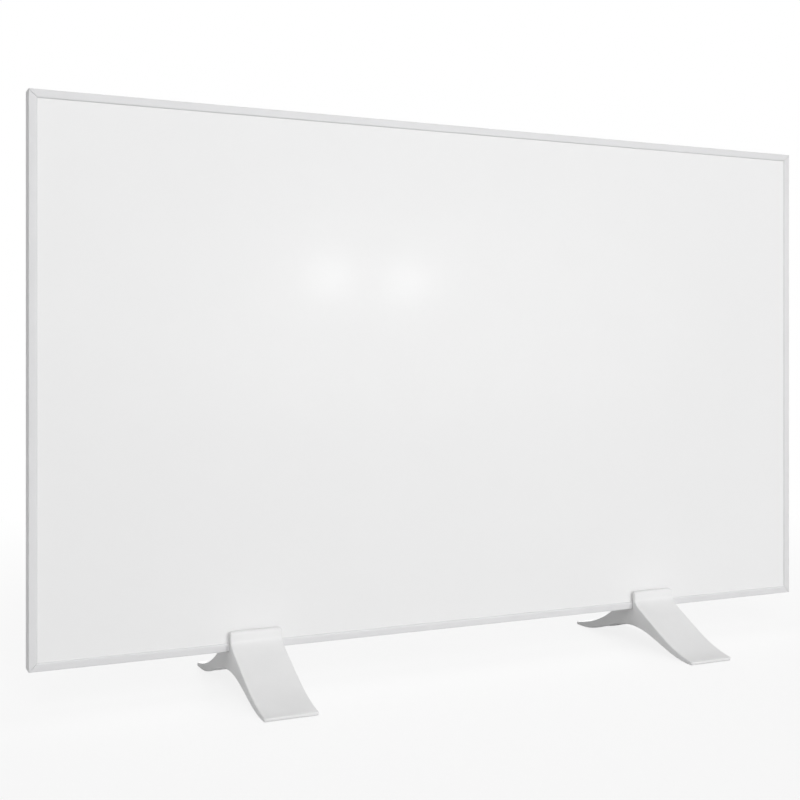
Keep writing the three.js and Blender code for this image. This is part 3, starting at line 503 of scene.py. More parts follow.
def noise(nodes, links, size, detail=3.0, stretch=(1, 1, 1)):
    """Noise in the object's own coordinates, with features about `size` millimetres across."""
    coordinates = nodes.new("ShaderNodeTexCoord")
    mapping = nodes.new("ShaderNodeMapping")
    mapping.inputs["Scale"].default_value = stretch
    texture = nodes.new("ShaderNodeTexNoise")
    texture.inputs["Scale"].default_value = 1 / (size * MM)
    texture.inputs["Detail"].default_value = detail
    links.new(coordinates.outputs["Object"], mapping.inputs["Vector"])
    links.new(mapping.outputs["Vector"], texture.inputs["Vector"])
    return texture.outputs["Fac"]


def spread(nodes, links, value, low, high, start=0.0, end=1.0):
    """The value mapped to run from `low` to `high` while it goes from `start` to `end`."""
    node = nodes.new("ShaderNodeMapRange")
    sockets = {"From Min": start, "From Max": end, "To Min": low, "To Max": high}
    for socket, number in sockets.items():
        node.inputs[socket].default_value = number
    links.new(value, node.inputs["Value"])
    return node.outputs["Result"]


def tinted(nodes, links, value, dark, light):
    """A colour that varies with noise between two others."""
    ramp = nodes.new("ShaderNodeValToRGB")
    ramp.color_ramp.elements[0].position = NOISE_RANGE[0]
    ramp.color_ramp.elements[1].position = NOISE_RANGE[1]
    ramp.color_ramp.elements[0].color = (*dark, 1)
    ramp.color_ramp.elements[1].color = (*light, 1)
    links.new(value, ramp.inputs["Fac"])
    return ramp.outputs["Color"]


def bumped(nodes, links, value, depth, before=None):
    """A bump of `depth` millimetres, over another one if it is given."""
    bump = nodes.new("ShaderNodeBump")
    bump.inputs["Strength"].default_value = 1.0
    bump.inputs["Distance"].default_value = depth * MM
    links.new(value, bump.inputs["Height"])
    if before is not None:
        links.new(before, bump.inputs["Normal"])
    return bump.outputs["Normal"]


def linear(colour):
    """An sRGB colour written as 0 to 255, as the shader's linear values."""
    return tuple(c / 12.92 / 255 if c < 10.3 else ((c / 255 + 0.055) / 1.055) ** 2.4
                 for c in colour)


def surface(name, colour, roughness, *, metallic=0.0, vary=3, cloud=60.0, grain=0.5, depth=0.004,
            wave=0.0, wave_depth=0.0, gloss_vary=0.05, coat=0.0, stretch=(1, 1, 1)):
    """A finish with drifting tone, uneven gloss, a fine grain and an optional long wave."""
    nodes, links, shader, material = new_material(name)
    tone = noise(nodes, links, cloud, 4.0, stretch)
    dark = linear([max(c - vary, 0) for c in colour])
    light = linear([min(c + vary, 255) for c in colour])
    links.new(tinted(nodes, links, tone, dark, light), shader.inputs["Base Color"])
    gloss = noise(nodes, links, cloud / GLOSS_FINENESS, 5.0, stretch)
    uneven = spread(nodes, links, gloss, roughness - gloss_vary, roughness + gloss_vary,
                    *NOISE_RANGE)
    links.new(uneven, shader.inputs["Roughness"])
    normal = bumped(nodes, links, noise(nodes, links, grain, 2.0, stretch), depth)
    if wave:
        normal = bumped(nodes, links, noise(nodes, links, wave, 1.0), wave_depth, normal)
    links.new(normal, shader.inputs["Normal"])
    shader.inputs["Metallic"].default_value = metallic
    if coat:
        shader.inputs["Coat Weight"].default_value = coat
        shader.inputs["Coat Roughness"].default_value = COAT_ROUGHNESS
    return material


FRONT_ENAMEL = surface("front_enamel", (242, 242, 242), 0.5, vary=0.6, cloud=260, grain=0.9,
                       depth=0.0006, wave=6, wave_depth=0.0015, gloss_vary=0.015, coat=0.05)
REAR_ENAMEL = surface("rear_enamel", (235, 236, 236), 0.42, vary=2, cloud=180, grain=0.5,
                      depth=0.006, wave=2.2, wave_depth=0.012)
FRAME_COAT = surface("frame_coat", (226, 226, 227), 0.42, vary=2, cloud=90, grain=0.35,
                     depth=0.003)
FOOT_PLASTIC = surface("foot_plastic", (236, 236, 236), 0.45, vary=2, cloud=45, grain=0.28,
                       depth=0.006, wave=9, wave_depth=0.01)
BOX_PLASTIC = surface("box_plastic", (230, 231, 231), 0.5, vary=2, cloud=40, grain=0.3,
                      depth=0.012)
GREY_PLASTIC = surface("grey_plastic", (196, 198, 199), 0.5, vary=4, cloud=12, grain=0.2,
                       depth=0.008)
BLACK_PLASTIC = surface("black_plastic", (30, 30, 32), 0.42, vary=4, cloud=9, grain=0.18,
                        depth=0.008)
RUBBER = surface("rubber", (120, 121, 122), 0.85, vary=9, cloud=7, grain=0.22, depth=0.02)
ZINC_STEEL = surface("zinc_steel", (196, 199, 203), 0.34, metallic=0.92, vary=12, cloud=3,
                     grain=0.12, depth=0.003, gloss_vary=0.1)
BRASS = surface("brass", (190, 160, 92), 0.34, metallic=1.0, vary=14, cloud=3, grain=0.12,
                depth=0.003, gloss_vary=0.1)
COPPER = surface("copper", (190, 122, 84), 0.36, metallic=1.0, vary=12, cloud=14, grain=0.2,
                 depth=0.003, gloss_vary=0.1, stretch=(1, 1, 0.05))
CARBON_FILM = surface("carbon_film", (44, 45, 49), 0.55, vary=12, cloud=22, grain=0.6,
                      depth=0.02, stretch=(0.05, 1, 1))
MICA_SHEET = surface("mica_sheet", (217, 207, 184), 0.5, vary=14, cloud=9, grain=0.8,
                     depth=0.03, gloss_vary=0.12)
FOIL = surface("foil", (212, 214, 216), 0.26, metallic=1.0, vary=6, cloud=30, grain=4.0,
               depth=0.15, gloss_vary=0.1)
MINERAL_WOOL = surface("mineral_wool", (205, 191, 143), 0.95, vary=22, cloud=5, grain=0.7,
                       depth=0.6, stretch=(1, 1, 3))
CERAMIC = surface("ceramic", (239, 233, 221), 0.45, vary=5, cloud=8, grain=0.4, depth=0.01)
LEAD_BROWN = surface("lead_brown", (106, 66, 38), 0.45, vary=7, cloud=6, grain=0.3, depth=0.006)
LEAD_BLUE = surface("lead_blue", (47, 95, 158), 0.45, vary=7, cloud=6, grain=0.3, depth=0.006)
MARK_PAINT = surface("mark_paint", (228, 228, 226), 0.5, vary=5, cloud=2, grain=0.1,
                     depth=0.004)


# -------- frame, screws and brackets

def bar_outline():
    """Section of a frame bar: inwards from its outer side, and from front to back."""
    lip_start = (FRAME_FACE - LIP_ROUND, 0)
    lip_handle = (FRAME_FACE - LIP_EASE, 0)
    lip_end = (FRAME_FACE, FRAME_WALL - LIP_HEEL)
    return (arc((OUTER_ROUND, OUTER_ROUND), OUTER_ROUND, 180, 270, 4)
            + [lip_start]
            + quadratic(lip_start, lip_handle, lip_end, 6)
            + [(FRAME_FACE, FRAME_WALL), (FRAME_WALL, FRAME_WALL), (FRAME_WALL, CHAMBER_FRONT),
               (CHAMBER_INNER, CHAMBER_FRONT), (CHAMBER_INNER, CHAMBER_BACK),
               (FRAME_WALL, CHAMBER_BACK)]
            + arc((FRAME_WALL - REAR_ROUND, PANEL_DEPTH - REAR_ROUND), REAR_ROUND, 0, 90, 2)
            + arc((OUTER_ROUND, PANEL_DEPTH - OUTER_ROUND), OUTER_ROUND, 90, 180, 4))


def frame_bar(length):
    """Rings of a mitred bar as (along, inwards, back) triples, softened at the mitres."""
    rings = []
    for side, steps in ((-1, MITRE_STEPS), (1, MITRE_STEPS[::-1])):
        for reach, back in steps:
            rings.append([(side * (length / 2 - u - back), u, v)
                          for u, v in inset(bar_outline(), reach)])
    return rings


def add_frame():
    half = PANEL_WIDTH / 2
    top = PANEL_LIFT + PANEL_HEIGHT
    middle = PANEL_LIFT + PANEL_HEIGHT / 2
    spots = {
        "frame_bottom": (PANEL_WIDTH, lambda a, u: (a, PANEL_LIFT + u)),
        "frame_top": (PANEL_WIDTH, lambda a, u: (a, top - u)),
        "frame_left": (PANEL_HEIGHT, lambda a, u: (u - half, middle + a)),
        "frame_right": (PANEL_HEIGHT, lambda a, u: (half - u, middle + a)),
    }
    for name, (length, to_xz) in spots.items():
        rings = []
        for ring in frame_bar(length):
            spun = [(to_xz(along, u), PANEL_FRONT + v) for along, u, v in ring]
            rings.append([(x, y, z) for (x, z), y in spun])
        add_piece(f"{name}_bar", loft(rings), FRAME_COAT, "panel", [name])


def screw_mesh(shank_radius, shank_length):
    """A pan-head screw along +Y with a cross recess; its head's underside is at y = 0."""
    shank = [(shank_radius * SCREW_TIP_SHARE, -shank_length),
             (shank_radius, shank_radius - shank_length), (shank_radius, 0)]
    wide, narrow = CROSS_REACH, CROSS_HALF
    cross = [(narrow, wide), (-narrow, wide), (-narrow, narrow), (-wide, narrow),
             (-wide, -narrow), (-narrow, -narrow), (-narrow, -wide), (narrow, -wide),
             (narrow, -narrow), (wide, -narrow), (wide, narrow), (narrow, narrow)]
    bottom = [(a * CROSS_TAPER, b * CROSS_TAPER) for a, b in cross]
    recess = stacked("xz", [(CROSS_FLOOR, bottom), (CROSS_TOP, cross)])
    return cut(turned("xz", shank + SCREW_HEAD, steps=32), recess)


def boss_places():
    """The four screw bosses of the terminal box."""
    x = BOX_WIDTH / 2 - BOSS_INSET
    low = BOX_MIDDLE - BOX_HEIGHT / 2 + BOSS_INSET
    high = BOX_MIDDLE + BOX_HEIGHT / 2 - BOSS_INSET
    return [(-x, low), (x, low), (x, high), (-x, high)]


def add_screws():
    """The corner and cover screws, each driven home at another angle."""
    first_turn, turn_step = 17, 47
    edge = PANEL_WIDTH / 2
    top = PANEL_LIFT + PANEL_HEIGHT
    corner_places = []
    for side in (-1, 1):
        for z, inwards in ((PANEL_LIFT, 1), (top, -1)):
            corner_places.append((side * (edge - SCREW_INSET), z + inwards * SCREW_DEPTH))
            corner_places.append((side * (edge - SCREW_DEPTH), z + inwards * SCREW_INSET))
    jobs = [("corner", corner_places, REAR_FACE + SCREW_SEAT, CORNER_SCREW_RADIUS,
             CORNER_SCREW_LENGTH),
            ("cover", boss_places(), COVER_TOP + SCREW_SEAT, COVER_SCREW_RADIUS,
             COVER_SCREW_LENGTH)]
    for kind, places, seat, radius, length in jobs:
        for i, (x, z) in enumerate(places):
            mesh = screw_mesh(radius, length)
            turn = math.radians(first_turn + turn_step * i)
            for vertex in mesh.verts:
                px, py, pz = vertex.co
                vertex.co = (px * math.cos(turn) + pz * math.sin(turn) + x * MM, py + seat * MM,
                             pz * math.cos(turn) - px * math.sin(turn) + z * MM)
            name = f"{kind}_screw_{i + 1}"
            add_piece(f"{name}_cross_head", mesh, ZINC_STEEL, "panel", [name])


def keyhole(x, z):
    """Cutter of a keyhole whose round end is below its slot."""
    flank = 59  # where the slot's sides meet the round end, in degrees
    nearest, furthest = 4, 14  # ends of the cutter, from the rear plate
    low, high = z - KEYHOLE_RUN / 2, z + KEYHOLE_RUN / 2
    outline = (arc((x, high), KEYHOLE_SLOT_RADIUS, 0, 180, 12)
               + arc((x, low), KEYHOLE_RADIUS, 180 - flank, 360 + flank, 28))
    return prism("xz", outline, REAR_FACE + nearest, REAR_FACE + furthest)


def bent_sheet(path, bend, thickness):
    """Outline of a sheet that follows a path of points, with rounded bends."""
    centre = [path[0]]
    for before, corner, after in zip(path, path[1:], path[2:]):
        into = Vector(before) - Vector(corner)
        out_of = Vector(after) - Vector(corner)
        start = Vector(corner) + into.normalized() * bend
        end = Vector(corner) + out_of.normalized() * bend
        centre += [tuple(start)] + quadratic(tuple(start), corner, tuple(end), 5)
    centre.append(path[-1])
    left, right = [], []
    for i, (x, y) in enumerate(centre):
        before, after = centre[max(i - 1, 0)], centre[min(i + 1, len(centre) - 1)]
        along = Vector((after[0] - before[0], after[1] - before[1])).normalized()
        left.append((x - along.y * thickness / 2, y + along.x * thickness / 2))
        right.append((x + along.y * thickness / 2, y - along.x * thickness / 2))
    return right + list(reversed(left))


def add_brackets():
    seat = REAR_FACE + BRACKET_SHEET / 2
    face = REAR_FACE + BRACKET_RISE - BRACKET_SHEET / 2
    dimple = [(radius, REAR_FACE + height) for radius, height in WELD_DIMPLE]
    for spot, (x, z) in BRACKET_PLACES.items():
        path = [(x - BRACKET_REACH, seat), (x - BRACKET_WALL, seat), (x - BRACKET_WALL, face),
                (x + BRACKET_WALL, face), (x + BRACKET_WALL, seat), (x + BRACKET_REACH, seat)]
        sheet = prism("xy", bent_sheet(path, BRACKET_BEND, BRACKET_SHEET),
                      z - BRACKET_HEIGHT / 2, z + BRACKET_HEIGHT / 2, BRACKET_EDGE, BRACKET_EDGE)
        welds = [turned("xz", dimple, (x + dx, z + dz), 24)
                 for dx in (-WELD_X, WELD_X) for dz in (-WELD_Z, WELD_Z)]
        mesh = softened(cut(sheet, keyhole(x, z), *welds), BRACKET_SOFTNESS)
        name = f"wall_bracket_{spot}"
        add_piece(f"{name}_pressing", mesh, REAR_ENAMEL, "panel", [name])


# -------- terminal box

def box_base(outline):
    hollow = inset(outline, BOX_WALL)
    shell = stacked("xz", [
        (REAR_FACE, inset(outline, BOX_BACK_EDGE)),
        (REAR_FACE + BOX_BACK_EDGE, outline),
        (COVER_SEAT - BOX_EDGE, outline),
        (COVER_SEAT, inset(outline, BOX_EDGE)),
        (COVER_SEAT, hollow),
        (REAR_FACE + BOX_WALL, hollow),
    ])
    bosses = []
    for spot in boss_places():
        boss = prism("xz", circle(BOSS_RADIUS, spot), REAR_FACE + BOX_WALL / 2,
                     COVER_SEAT - BOSS_GAP)
        room = prism("xz", inset(outline, BOSS_MARGIN), REAR_FACE, COVER_TOP)
        bosses.append(combine(boss, "INTERSECT", room))
    holes = [prism("xz", circle(SCREW_HOLE_RADIUS, spot, 24), COVER_SEAT - COVER_SCREW_LENGTH,
                   COVER_SEAT + OVERRUN) for spot in boss_places()]
    for radius, spot in ((LEAD_HOLE_RADIUS, (0, BOX_MIDDLE)),
                         (STUD_HOLE_RADIUS, STUD_HOLE)):
        holes.append(prism("xz", circle(radius, spot), REAR_FACE - OVERRUN,
                           REAR_FACE + BOX_WALL + OVERRUN))
    holes.append(prism("xy", circle(GLAND_HOLE_RADIUS, GLAND), GLAND_WALL - OVERRUN,
                       GLAND_WALL + BOX_WALL + OVERRUN))
    return cut(join(shell, *bosses), *holes)


def box_cover(outline):
    lid = stacked("xz", [(COVER_SEAT, inset(outline, BOX_EDGE)), (COVER_SEAT + BOX_EDGE, outline)]
                  + [(COVER_TOP - below, inset(outline, reach)) for below, reach in COVER_ROUND])
    seat = [(SCREW_HOLE_RADIUS, COVER_SEAT - OVERRUN),
            (SCREW_HOLE_RADIUS, COVER_TOP - HOLE_FLARE_DEPTH),
            (SCREW_HOLE_RADIUS + HOLE_FLARE, COVER_TOP + OVERRUN)]
    seats = [turned("xz", seat, spot, 24) for spot in boss_places()]
    opening = prism("xz", rounded_rectangle(*SWITCH_HOLE, (SWITCH_X, BOX_MIDDLE), 2),
                    COVER_SEAT - OVERRUN, COVER_TOP + OVERRUN)
    ribs = [prism("xz", rounded_rectangle(COVER_RIB, COVER_RIB_LENGTH, COVER_RIB_CORNER,
                                          (side * COVER_RIB_X, BOX_MIDDLE), 2),
                  COVER_SEAT - COVER_RIB_DEPTH, COVER_SEAT + 1) for side in (-1, 1)]
    return cut(join(lid, *ribs), opening, *seats)


def add_box():
    outline = rounded_rectangle(BOX_WIDTH, BOX_HEIGHT, BOX_CORNER, (0, BOX_MIDDLE), 8)
    add_piece("terminal_box_base_moulding", box_base(outline), BOX_PLASTIC,
              "panel", ["terminal_box_base"])
    add_piece("terminal_box_cover_moulding", box_cover(outline), BOX_PLASTIC,
              "panel", ["terminal_box_cover"])


def add_switch():
    centre = (SWITCH_X, BOX_MIDDLE)
    bezel = rounded_rectangle(*BEZEL, centre, 4)
    body = rounded_rectangle(*SWITCH_BODY, centre, 4)
    mouth = rounded_rectangle(*SWITCH_MOUTH, centre, 4)
    top = COVER_TOP + BEZEL_HEIGHT
    bottom = top - SWITCH_BODY_DEPTH
    housing = stacked("xz", [(bottom, body), (COVER_TOP, body)]
                      + [(COVER_TOP + above, inset(bezel, reach)) for above, reach in BEZEL_ROUND]
                      + [(top, mouth), (top - SWITCH_MOUTH_DEPTH, mouth)])
    pivot = prism("yz", circle(PIVOT_HOLE_RADIUS, (top - PIVOT_DEPTH, BOX_MIDDLE), 24),
                  SWITCH_X - PIVOT_HOLE_REACH, SWITCH_X + PIVOT_HOLE_REACH)
    blades = [prism("xz", rounded_rectangle(*BLADE, (SWITCH_X, BOX_MIDDLE + dz), 2),
                    bottom - BLADE_LENGTH, bottom + 1) for dz in (-BLADE_Z, BLADE_Z)]
    add_piece("switch_housing_moulding", cut(join(housing, *blades), pivot), BLACK_PLASTIC,
              "panel", ["switch_housing"])


def on_rocker(height, along):
    """A point of the tilted rocker, `height` outwards and `along` upwards from its axis."""
    tilt = math.radians(-ROCKER_TILT)
    pivot = COVER_TOP + BEZEL_HEIGHT - PIVOT_DEPTH
    return (pivot + height * math.cos(tilt) - along * math.sin(tilt),
            BOX_MIDDLE + height * math.sin(tilt) + along * math.cos(tilt))


def rocker_face(along):
    """Height of the rocker's hollow face above its axis."""
    return ROCKER_MIDDLE + ROCKER_HOLLOW * (along / (ROCKER_LENGTH / 2)) ** 2


def add_mark(name, middle, outline, hole=None):
    """A painted mark, `middle` along the rocker, that follows its hollow face."""
    mesh = bmesh.new()
    loops = []
    for ring in [outline, hole] if hole else [outline]:
        for lift in MARK_LIFTS:
            verts = []
            for x, offset in ring:
                along = middle + offset
                y, z = on_rocker(rocker_face(along) + lift, along)
                verts.append(mesh.verts.new([c * MM for c in (SWITCH_X + x, y, z)]))
            loops.append(verts)
    count = len(outline)
    for low, high in [(0, 1), (1, 3), (3, 2), (2, 0)] if hole else [(0, 1)]:
        for i in range(count):
            j = (i + 1) % count
            mesh.faces.new((loops[low][i], loops[low][j], loops[high][j], loops[high][i]))
    if not hole:
        mesh.faces.new(loops[0])
        mesh.faces.new(loops[1])
    bmesh.ops.recalc_face_normals(mesh, faces=mesh.faces)
    add_piece(name, mesh, MARK_PAINT, "rocker", [])


def add_rocker():
    steps = 16
    stops = [ROCKER_LENGTH * i / steps - ROCKER_LENGTH / 2 for i in range(steps + 1)]
    face = [(rocker_face(along), along) for along in stops]
    outline = [on_rocker(height, along) for height, along in face + ROCKER_BACK]
    body = prism("yz", outline, SWITCH_X - ROCKER_WIDTH / 2, SWITCH_X + ROCKER_WIDTH / 2,
                 ROCKER_EDGE, ROCKER_EDGE)
    pin = prism("yz", circle(PIN_RADIUS, on_rocker(0, 0), 24), SWITCH_X - PIN_REACH,
                SWITCH_X + PIN_REACH, PIN_EDGE, PIN_EDGE)
    add_piece("rocker_paddle", join(body, pin), BLACK_PLASTIC, "rocker",
              ["rocker"])
    add_mark("mark_on", MARK_ALONG, rounded_rectangle(*MARK_BAR, steps=2))
    outer, inner = MARK_RING
    add_mark("mark_off", -MARK_ALONG, circle(outer, steps=32), circle(inner, steps=32))


def gland_turned(profile):
    """A turned solid on the gland's axis, its heights given from the underside of the box."""
    return turned("xy", [(radius, GLAND_WALL + height) for radius, height in profile], GLAND)


def gland_prism(outline, low, high, low_edge=0.0, high_edge=0.0):
    return prism("xy", outline, GLAND_WALL + low, GLAND_WALL + high, low_edge, high_edge)


def add_gland():
    flats = hexagon(GLAND_FLATS, HEX_CORNER, GLAND)
    root = THREAD_RADIUS - THREAD_DEPTH
    tube = list(GLAND_TUBE)
    for i in range(THREAD_TURNS):
        tube += [(root, THREAD_START + i), (THREAD_RADIUS, THREAD_START + 0.5 + i)]
    tube.append((root, THREAD_START + THREAD_TURNS + 0.1))
    flange = gland_prism(flats, -GLAND_FLANGE, 0, FLANGE_EDGE)
    bore = gland_prism(circle(GLAND_BORE_RADIUS, GLAND), *GLAND_BORE)
    locknut = cut(gland_prism(flats, *LOCKNUT, LOCKNUT_EDGE, LOCKNUT_EDGE),
                  gland_prism(circle(GLAND_HOLE_RADIUS, GLAND), *LOCKNUT_BORE))
    levels = [(height, lobed(radius, NUT_LOBE_DEPTH, NUT_LOBES, GLAND))
              for height, radius in NUT_GRIP]
    levels += [(height, lobed(radius, 0.0, NUT_LOBES, GLAND)) for height, radius in NUT_DOME]
    blank = stacked("xy", [(GLAND_WALL + height, outline) for height, outline in levels])
    seal = cut(gland_turned(SEAL_OUTSIDE), gland_turned(SEAL_BORE))
    for name, mesh, node in (
            ("gland_body_moulding", cut(join(gland_turned(tube), flange), bore), "gland_body"),
            ("gland_locknut_moulding", locknut, "gland_locknut"),
            ("gland_dome_nut", cut(blank, gland_turned(NUT_BORE)), "gland_nut")):
        add_piece(name, mesh, GREY_PLASTIC, "panel", [node])
    add_piece("gland_rubber_seal", seal, RUBBER, "panel", ["gland_seal"])


# -------- feet

def arch(y):
    """Height of the sole above the floor."""
    turn = math.pi * (y - ARCH_MIDDLE) / ARCH_HALF
    return SOLE + (ARCH_HEIGHT - SOLE) / 2 * (1 + math.cos(turn))


def leg_top_rear():
    """Upper side of the rear leg from the toe to the lip's straight back."""
    toe = (TOE_END - TOE_NOSE, TOE_TOP)
    run, drop = toe[0] - REAR_BEND[0], REAR_BEND[1] - TOE_TOP
    (toe_run, toe_drop), (bend_run, bend_drop) = REAR_TOE_HANDLE, REAR_BEND_HANDLE
    sweep = cubic(toe, (toe[0] - run * toe_run, TOE_TOP + drop * toe_drop),
                  (REAR_BEND[0] + run * bend_run, TOE_TOP + drop * bend_drop), REAR_BEND, 36)
    rise = quadratic(REAR_BEND, (LIP_BACK, REAR_RISE), (LIP_BACK, LIP_BEND), 10)
    return [toe] + sweep + rise


def leg_top_front():
    """Upper side of the front leg from the lip's straight front to the toe."""
    start = (LIP_FRONT, LIP_BEND)
    toe = (TOE_NOSE - TOE_END, TOE_TOP)
    run, drop = FRONT_BEND[0] - toe[0], FRONT_BEND[1] - TOE_TOP
    (toe_run, toe_drop), (bend_run, bend_drop) = FRONT_TOE_HANDLE, FRONT_BEND_HANDLE
    rise = quadratic(start, (LIP_FRONT, FRONT_RISE), FRONT_BEND, 10)
    near_bend = (FRONT_BEND[0] - run * bend_run, FRONT_BEND[1] - drop * bend_drop)
    near_toe = (toe[0] + run * toe_run, TOE_TOP + drop * toe_drop)
    sweep = cubic(FRONT_BEND, near_bend, near_toe, toe, 36)
    return [start] + rise + sweep


def foot_outline():
    """The foot's side, anticlockwise in Y and Z, with the slot for the panel."""
    lip_shoulder = LIP_TOP - LIP_BEVEL
    inner_back, inner_front = LIP_BACK - LIP_CROWN, LIP_FRONT + LIP_CROWN
    points = [(TOE_END - TOE_ROUND, SOLE)]
    points += quadratic(points[-1], (TOE_END, SOLE), (TOE_END, TOE_MIDDLE), 5)
    points += quadratic(points[-1], (TOE_END, TOE_TOP), (TOE_END - TOE_NOSE, TOE_TOP), 5)[:-1]
    points += leg_top_rear()
    points.append((LIP_BACK, lip_shoulder))
    points += quadratic(points[-1], (LIP_BACK, LIP_TOP), (inner_back, LIP_TOP), 8)
    points += [(SLOT_BACK, LIP_TOP), (SLOT_BACK, SLOT_FLOOR),
               (SLOT_FRONT, SLOT_FLOOR), (SLOT_FRONT, LIP_TOP), (inner_front, LIP_TOP)]
    points += quadratic(points[-1], (LIP_FRONT, LIP_TOP), (LIP_FRONT, lip_shoulder), 8)
    points += leg_top_front()
    points += quadratic(points[-1], (-TOE_END, TOE_TOP), (-TOE_END, TOE_MIDDLE), 5)
    points += quadratic(points[-1], (-TOE_END, SOLE), (TOE_ROUND - TOE_END, SOLE), 5)
    steps = 96
    for i in range(steps + 1):
        y = ARCH_MIDDLE - ARCH_HALF + 2 * ARCH_HALF * i / steps
        points.append((y, arch(y)))
    return points


def half_width(y, z):
    """Half the foot's width, rounded off at the toes' and the lips' corners."""
    half = FOOT_WIDTH / 2
    for corner, past in ((TOE_CORNER, abs(y) - (TOE_END - TOE_CORNER)),
                         (LIP_CORNER, z - (LIP_TOP - LIP_CORNER))):
        if past > 0:
            half -= corner - math.sqrt(max(corner ** 2 - past ** 2, 0))
    return half


def foot_blank(x):
    outline = divided(foot_outline(), LONGEST_SIDE)
    rings = []
    levels = [(reach, FOOT_WIDTH / 2 - back) for reach, back in fillet(FOOT_EDGE, 5)]
    levels = [(reach, -out) for reach, out in reversed(levels)] + levels
    for reach, across in levels:
        ring = []
        for y, z in inset(outline, reach):
            ring.append((x + across * half_width(y, z) / (FOOT_WIDTH / 2), y, z))
        rings.append(ring)
    return loft(rings)


def ceiling(y, leg):
    """Top of the hollow under the foot at y, a shell's thickness below the upper side."""
    height = SLOT_FLOOR - FOOT_SHELL
    for top_y, top_z in leg:
        away = abs(top_y - y)
        if away < FOOT_SHELL:
            height = min(height, top_z - math.sqrt(FOOT_SHELL ** 2 - away ** 2))
    return height


def foot_cells(x):
    """Cutters of the cells between the ribs: two across and five along."""
    leg = divided(leg_top_front(), LEG_STEP) + divided(leg_top_rear(), LEG_STEP)
    across = FOOT_WIDTH / 2 - FOOT_SHELL
    cells = []
    for side in (-1, 1):
        near, far = x + side * FOOT_RIB / 2, x + side * across
        centre, width = (near + far) / 2, abs(far - near)
        for start, end in zip(RIB_STOPS, RIB_STOPS[1:]):
            low, high = start + FOOT_RIB / 2, end - FOOT_RIB / 2
            rings = []
            for i in range(CELL_STEPS + 1):
                y = low + (high - low) * i / CELL_STEPS
                top = max(ceiling(y, leg), arch(y) - SOLE_DIP)
                height = top + CELL_BELOW
                corner = DEEP_CORNER if height > DEEP_CELL else SHALLOW_CORNER
                section = rounded_rectangle(width, height, corner, (centre, top - height / 2), 3)
                rings.append([(a, y, b) for a, b in section])
            cells.append(loft(rings))
    return cells


def add_pads(side, x):
    for name, end in (("front", -1), ("rear", 1)):
        pad = prism("xy", rounded_rectangle(*PAD_SIZE, PAD_CORNER, (x, end * PAD_Y)),
                    0, PAD_THICKNESS, *PAD_EDGES)
        grooves = []
        for i in (-1, 0, 1):
            centre = (x, end * PAD_Y + i * GROOVE_PITCH)
            outline = rounded_rectangle(*GROOVE, centre, 3)
            grooves.append(prism("xy", outline, -OVERRUN, GROOVE_DEPTH))
        add_piece(f"foot_pad_{name}_{side}_ribbed", cut(pad, *grooves), RUBBER,
                  f"{side}_foot", [f"foot_pad_{name}_{side}"])


def add_thumb_screw(side, centre):
    start = LIP_BACK + KNOB_GAP
    end = start + KNOB_LENGTH
    steps = 8 * KNOB_LOBES
    levels = list(SHANK_TIP)
    for i in range(SHANK_TURNS):
        turn = SHANK_START + i * SHANK_PITCH
        levels += [(turn, SHANK_RADIUS), (turn + SHANK_PITCH / 2, SHANK_ROOT)]
    levels.append((start - SHANK_STEP, SHANK_RADIUS))
    screw = [(depth, circle(radius, centre, steps)) for depth, radius in levels]
    for face, rings in ((start, KNOB_FRONT), (end, KNOB_BACK)):
        screw += [(face + depth, lobed(radius, hollow, KNOB_LOBES, centre))
                  for depth, radius, hollow in rings]
    screw += [(end + depth, circle(radius, centre, steps)) for depth, radius in KNOB_DISH]
    add_piece(f"thumb_screw_{side}_lobed", stacked("xz", screw), FOOT_PLASTIC,
              f"{side}_thumb_screw", [f"thumb_screw_{side}"])


def add_foot(side, x):
    pocket_size = [length + SEAT_GAP for length in PAD_SIZE]
    pockets = [prism("xy", rounded_rectangle(*pocket_size, PAD_CORNER, (x, end * PAD_Y)),
                     -OVERRUN, PAD_THICKNESS) for end in (-1, 1)]
    screw_centre = (x, PANEL_LIFT + SCREW_RISE)
    insert_hole = prism("xz", circle(INSERT_HOLE_RADIUS, screw_centre),
                        SLOT_BACK - OVERRUN, LIP_BACK + OVERRUN)
    spot_face = prism("xz", circle(SPOT_FACE_RADIUS, screw_centre), LIP_BACK,
                      LIP_BACK + SPOT_FACE_LENGTH)
    body = cut(foot_blank(x), *foot_cells(x), *pockets, insert_hole, spot_face)
    add_piece(f"foot_{side}_moulding", body, FOOT_PLASTIC, f"{side}_foot",
              [f"foot_{side}"])
    add_pads(side, x)
    add_thumb_screw(side, screw_centre)


# -------- the object

add_frame()
add_screws()
add_brackets()
add_box()
add_switch()
add_rocker()
add_gland()
for foot_side, foot_x in FOOT_X.items():
    add_foot(foot_side, foot_x)

CAD_FINISHES = {
    "front_plate": FRONT_ENAMEL,
    "rear_plate": REAR_ENAMEL,
    "heating_film": CARBON_FILM,
    "busbar_": COPPER,
    "insulating_sheet": MICA_SHEET,
    "reflector_foil": FOIL,
    "insulation_board": MINERAL_WOOL,
    "corner_key_": ZINC_STEEL,
    "terminal_block": CERAMIC,
    "thermal_cutout_": CERAMIC,
    "earth_stud": ZINC_STEEL,
    "earth_nut": BRASS,
    "threaded_insert_": BRASS,
    "lead_left": LEAD_BROWN,
    "lead_right": LEAD_BLUE,
}
for node_name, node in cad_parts.items():
    for start_of_name, finish in CAD_FINISHES.items():
        if node_name.startswith(start_of_name):
            node.data.materials.clear()
            node.data.materials.append(finish)


# -------- floor, light and camera

FLOOR_RADIUS = 30  # metres
FLOOR_SHADES = (0.56, 0.86)  # as it lights the object, and as it is seen
FLOOR_FADE = (0.5, 1.6)  # where it starts to turn white, and where it is, in metres
FLOOR_LEAST_WHITE = 0.84
WORLD_LEVELS = (0.45, 0.16)  # as a light, in front of the object and behind it

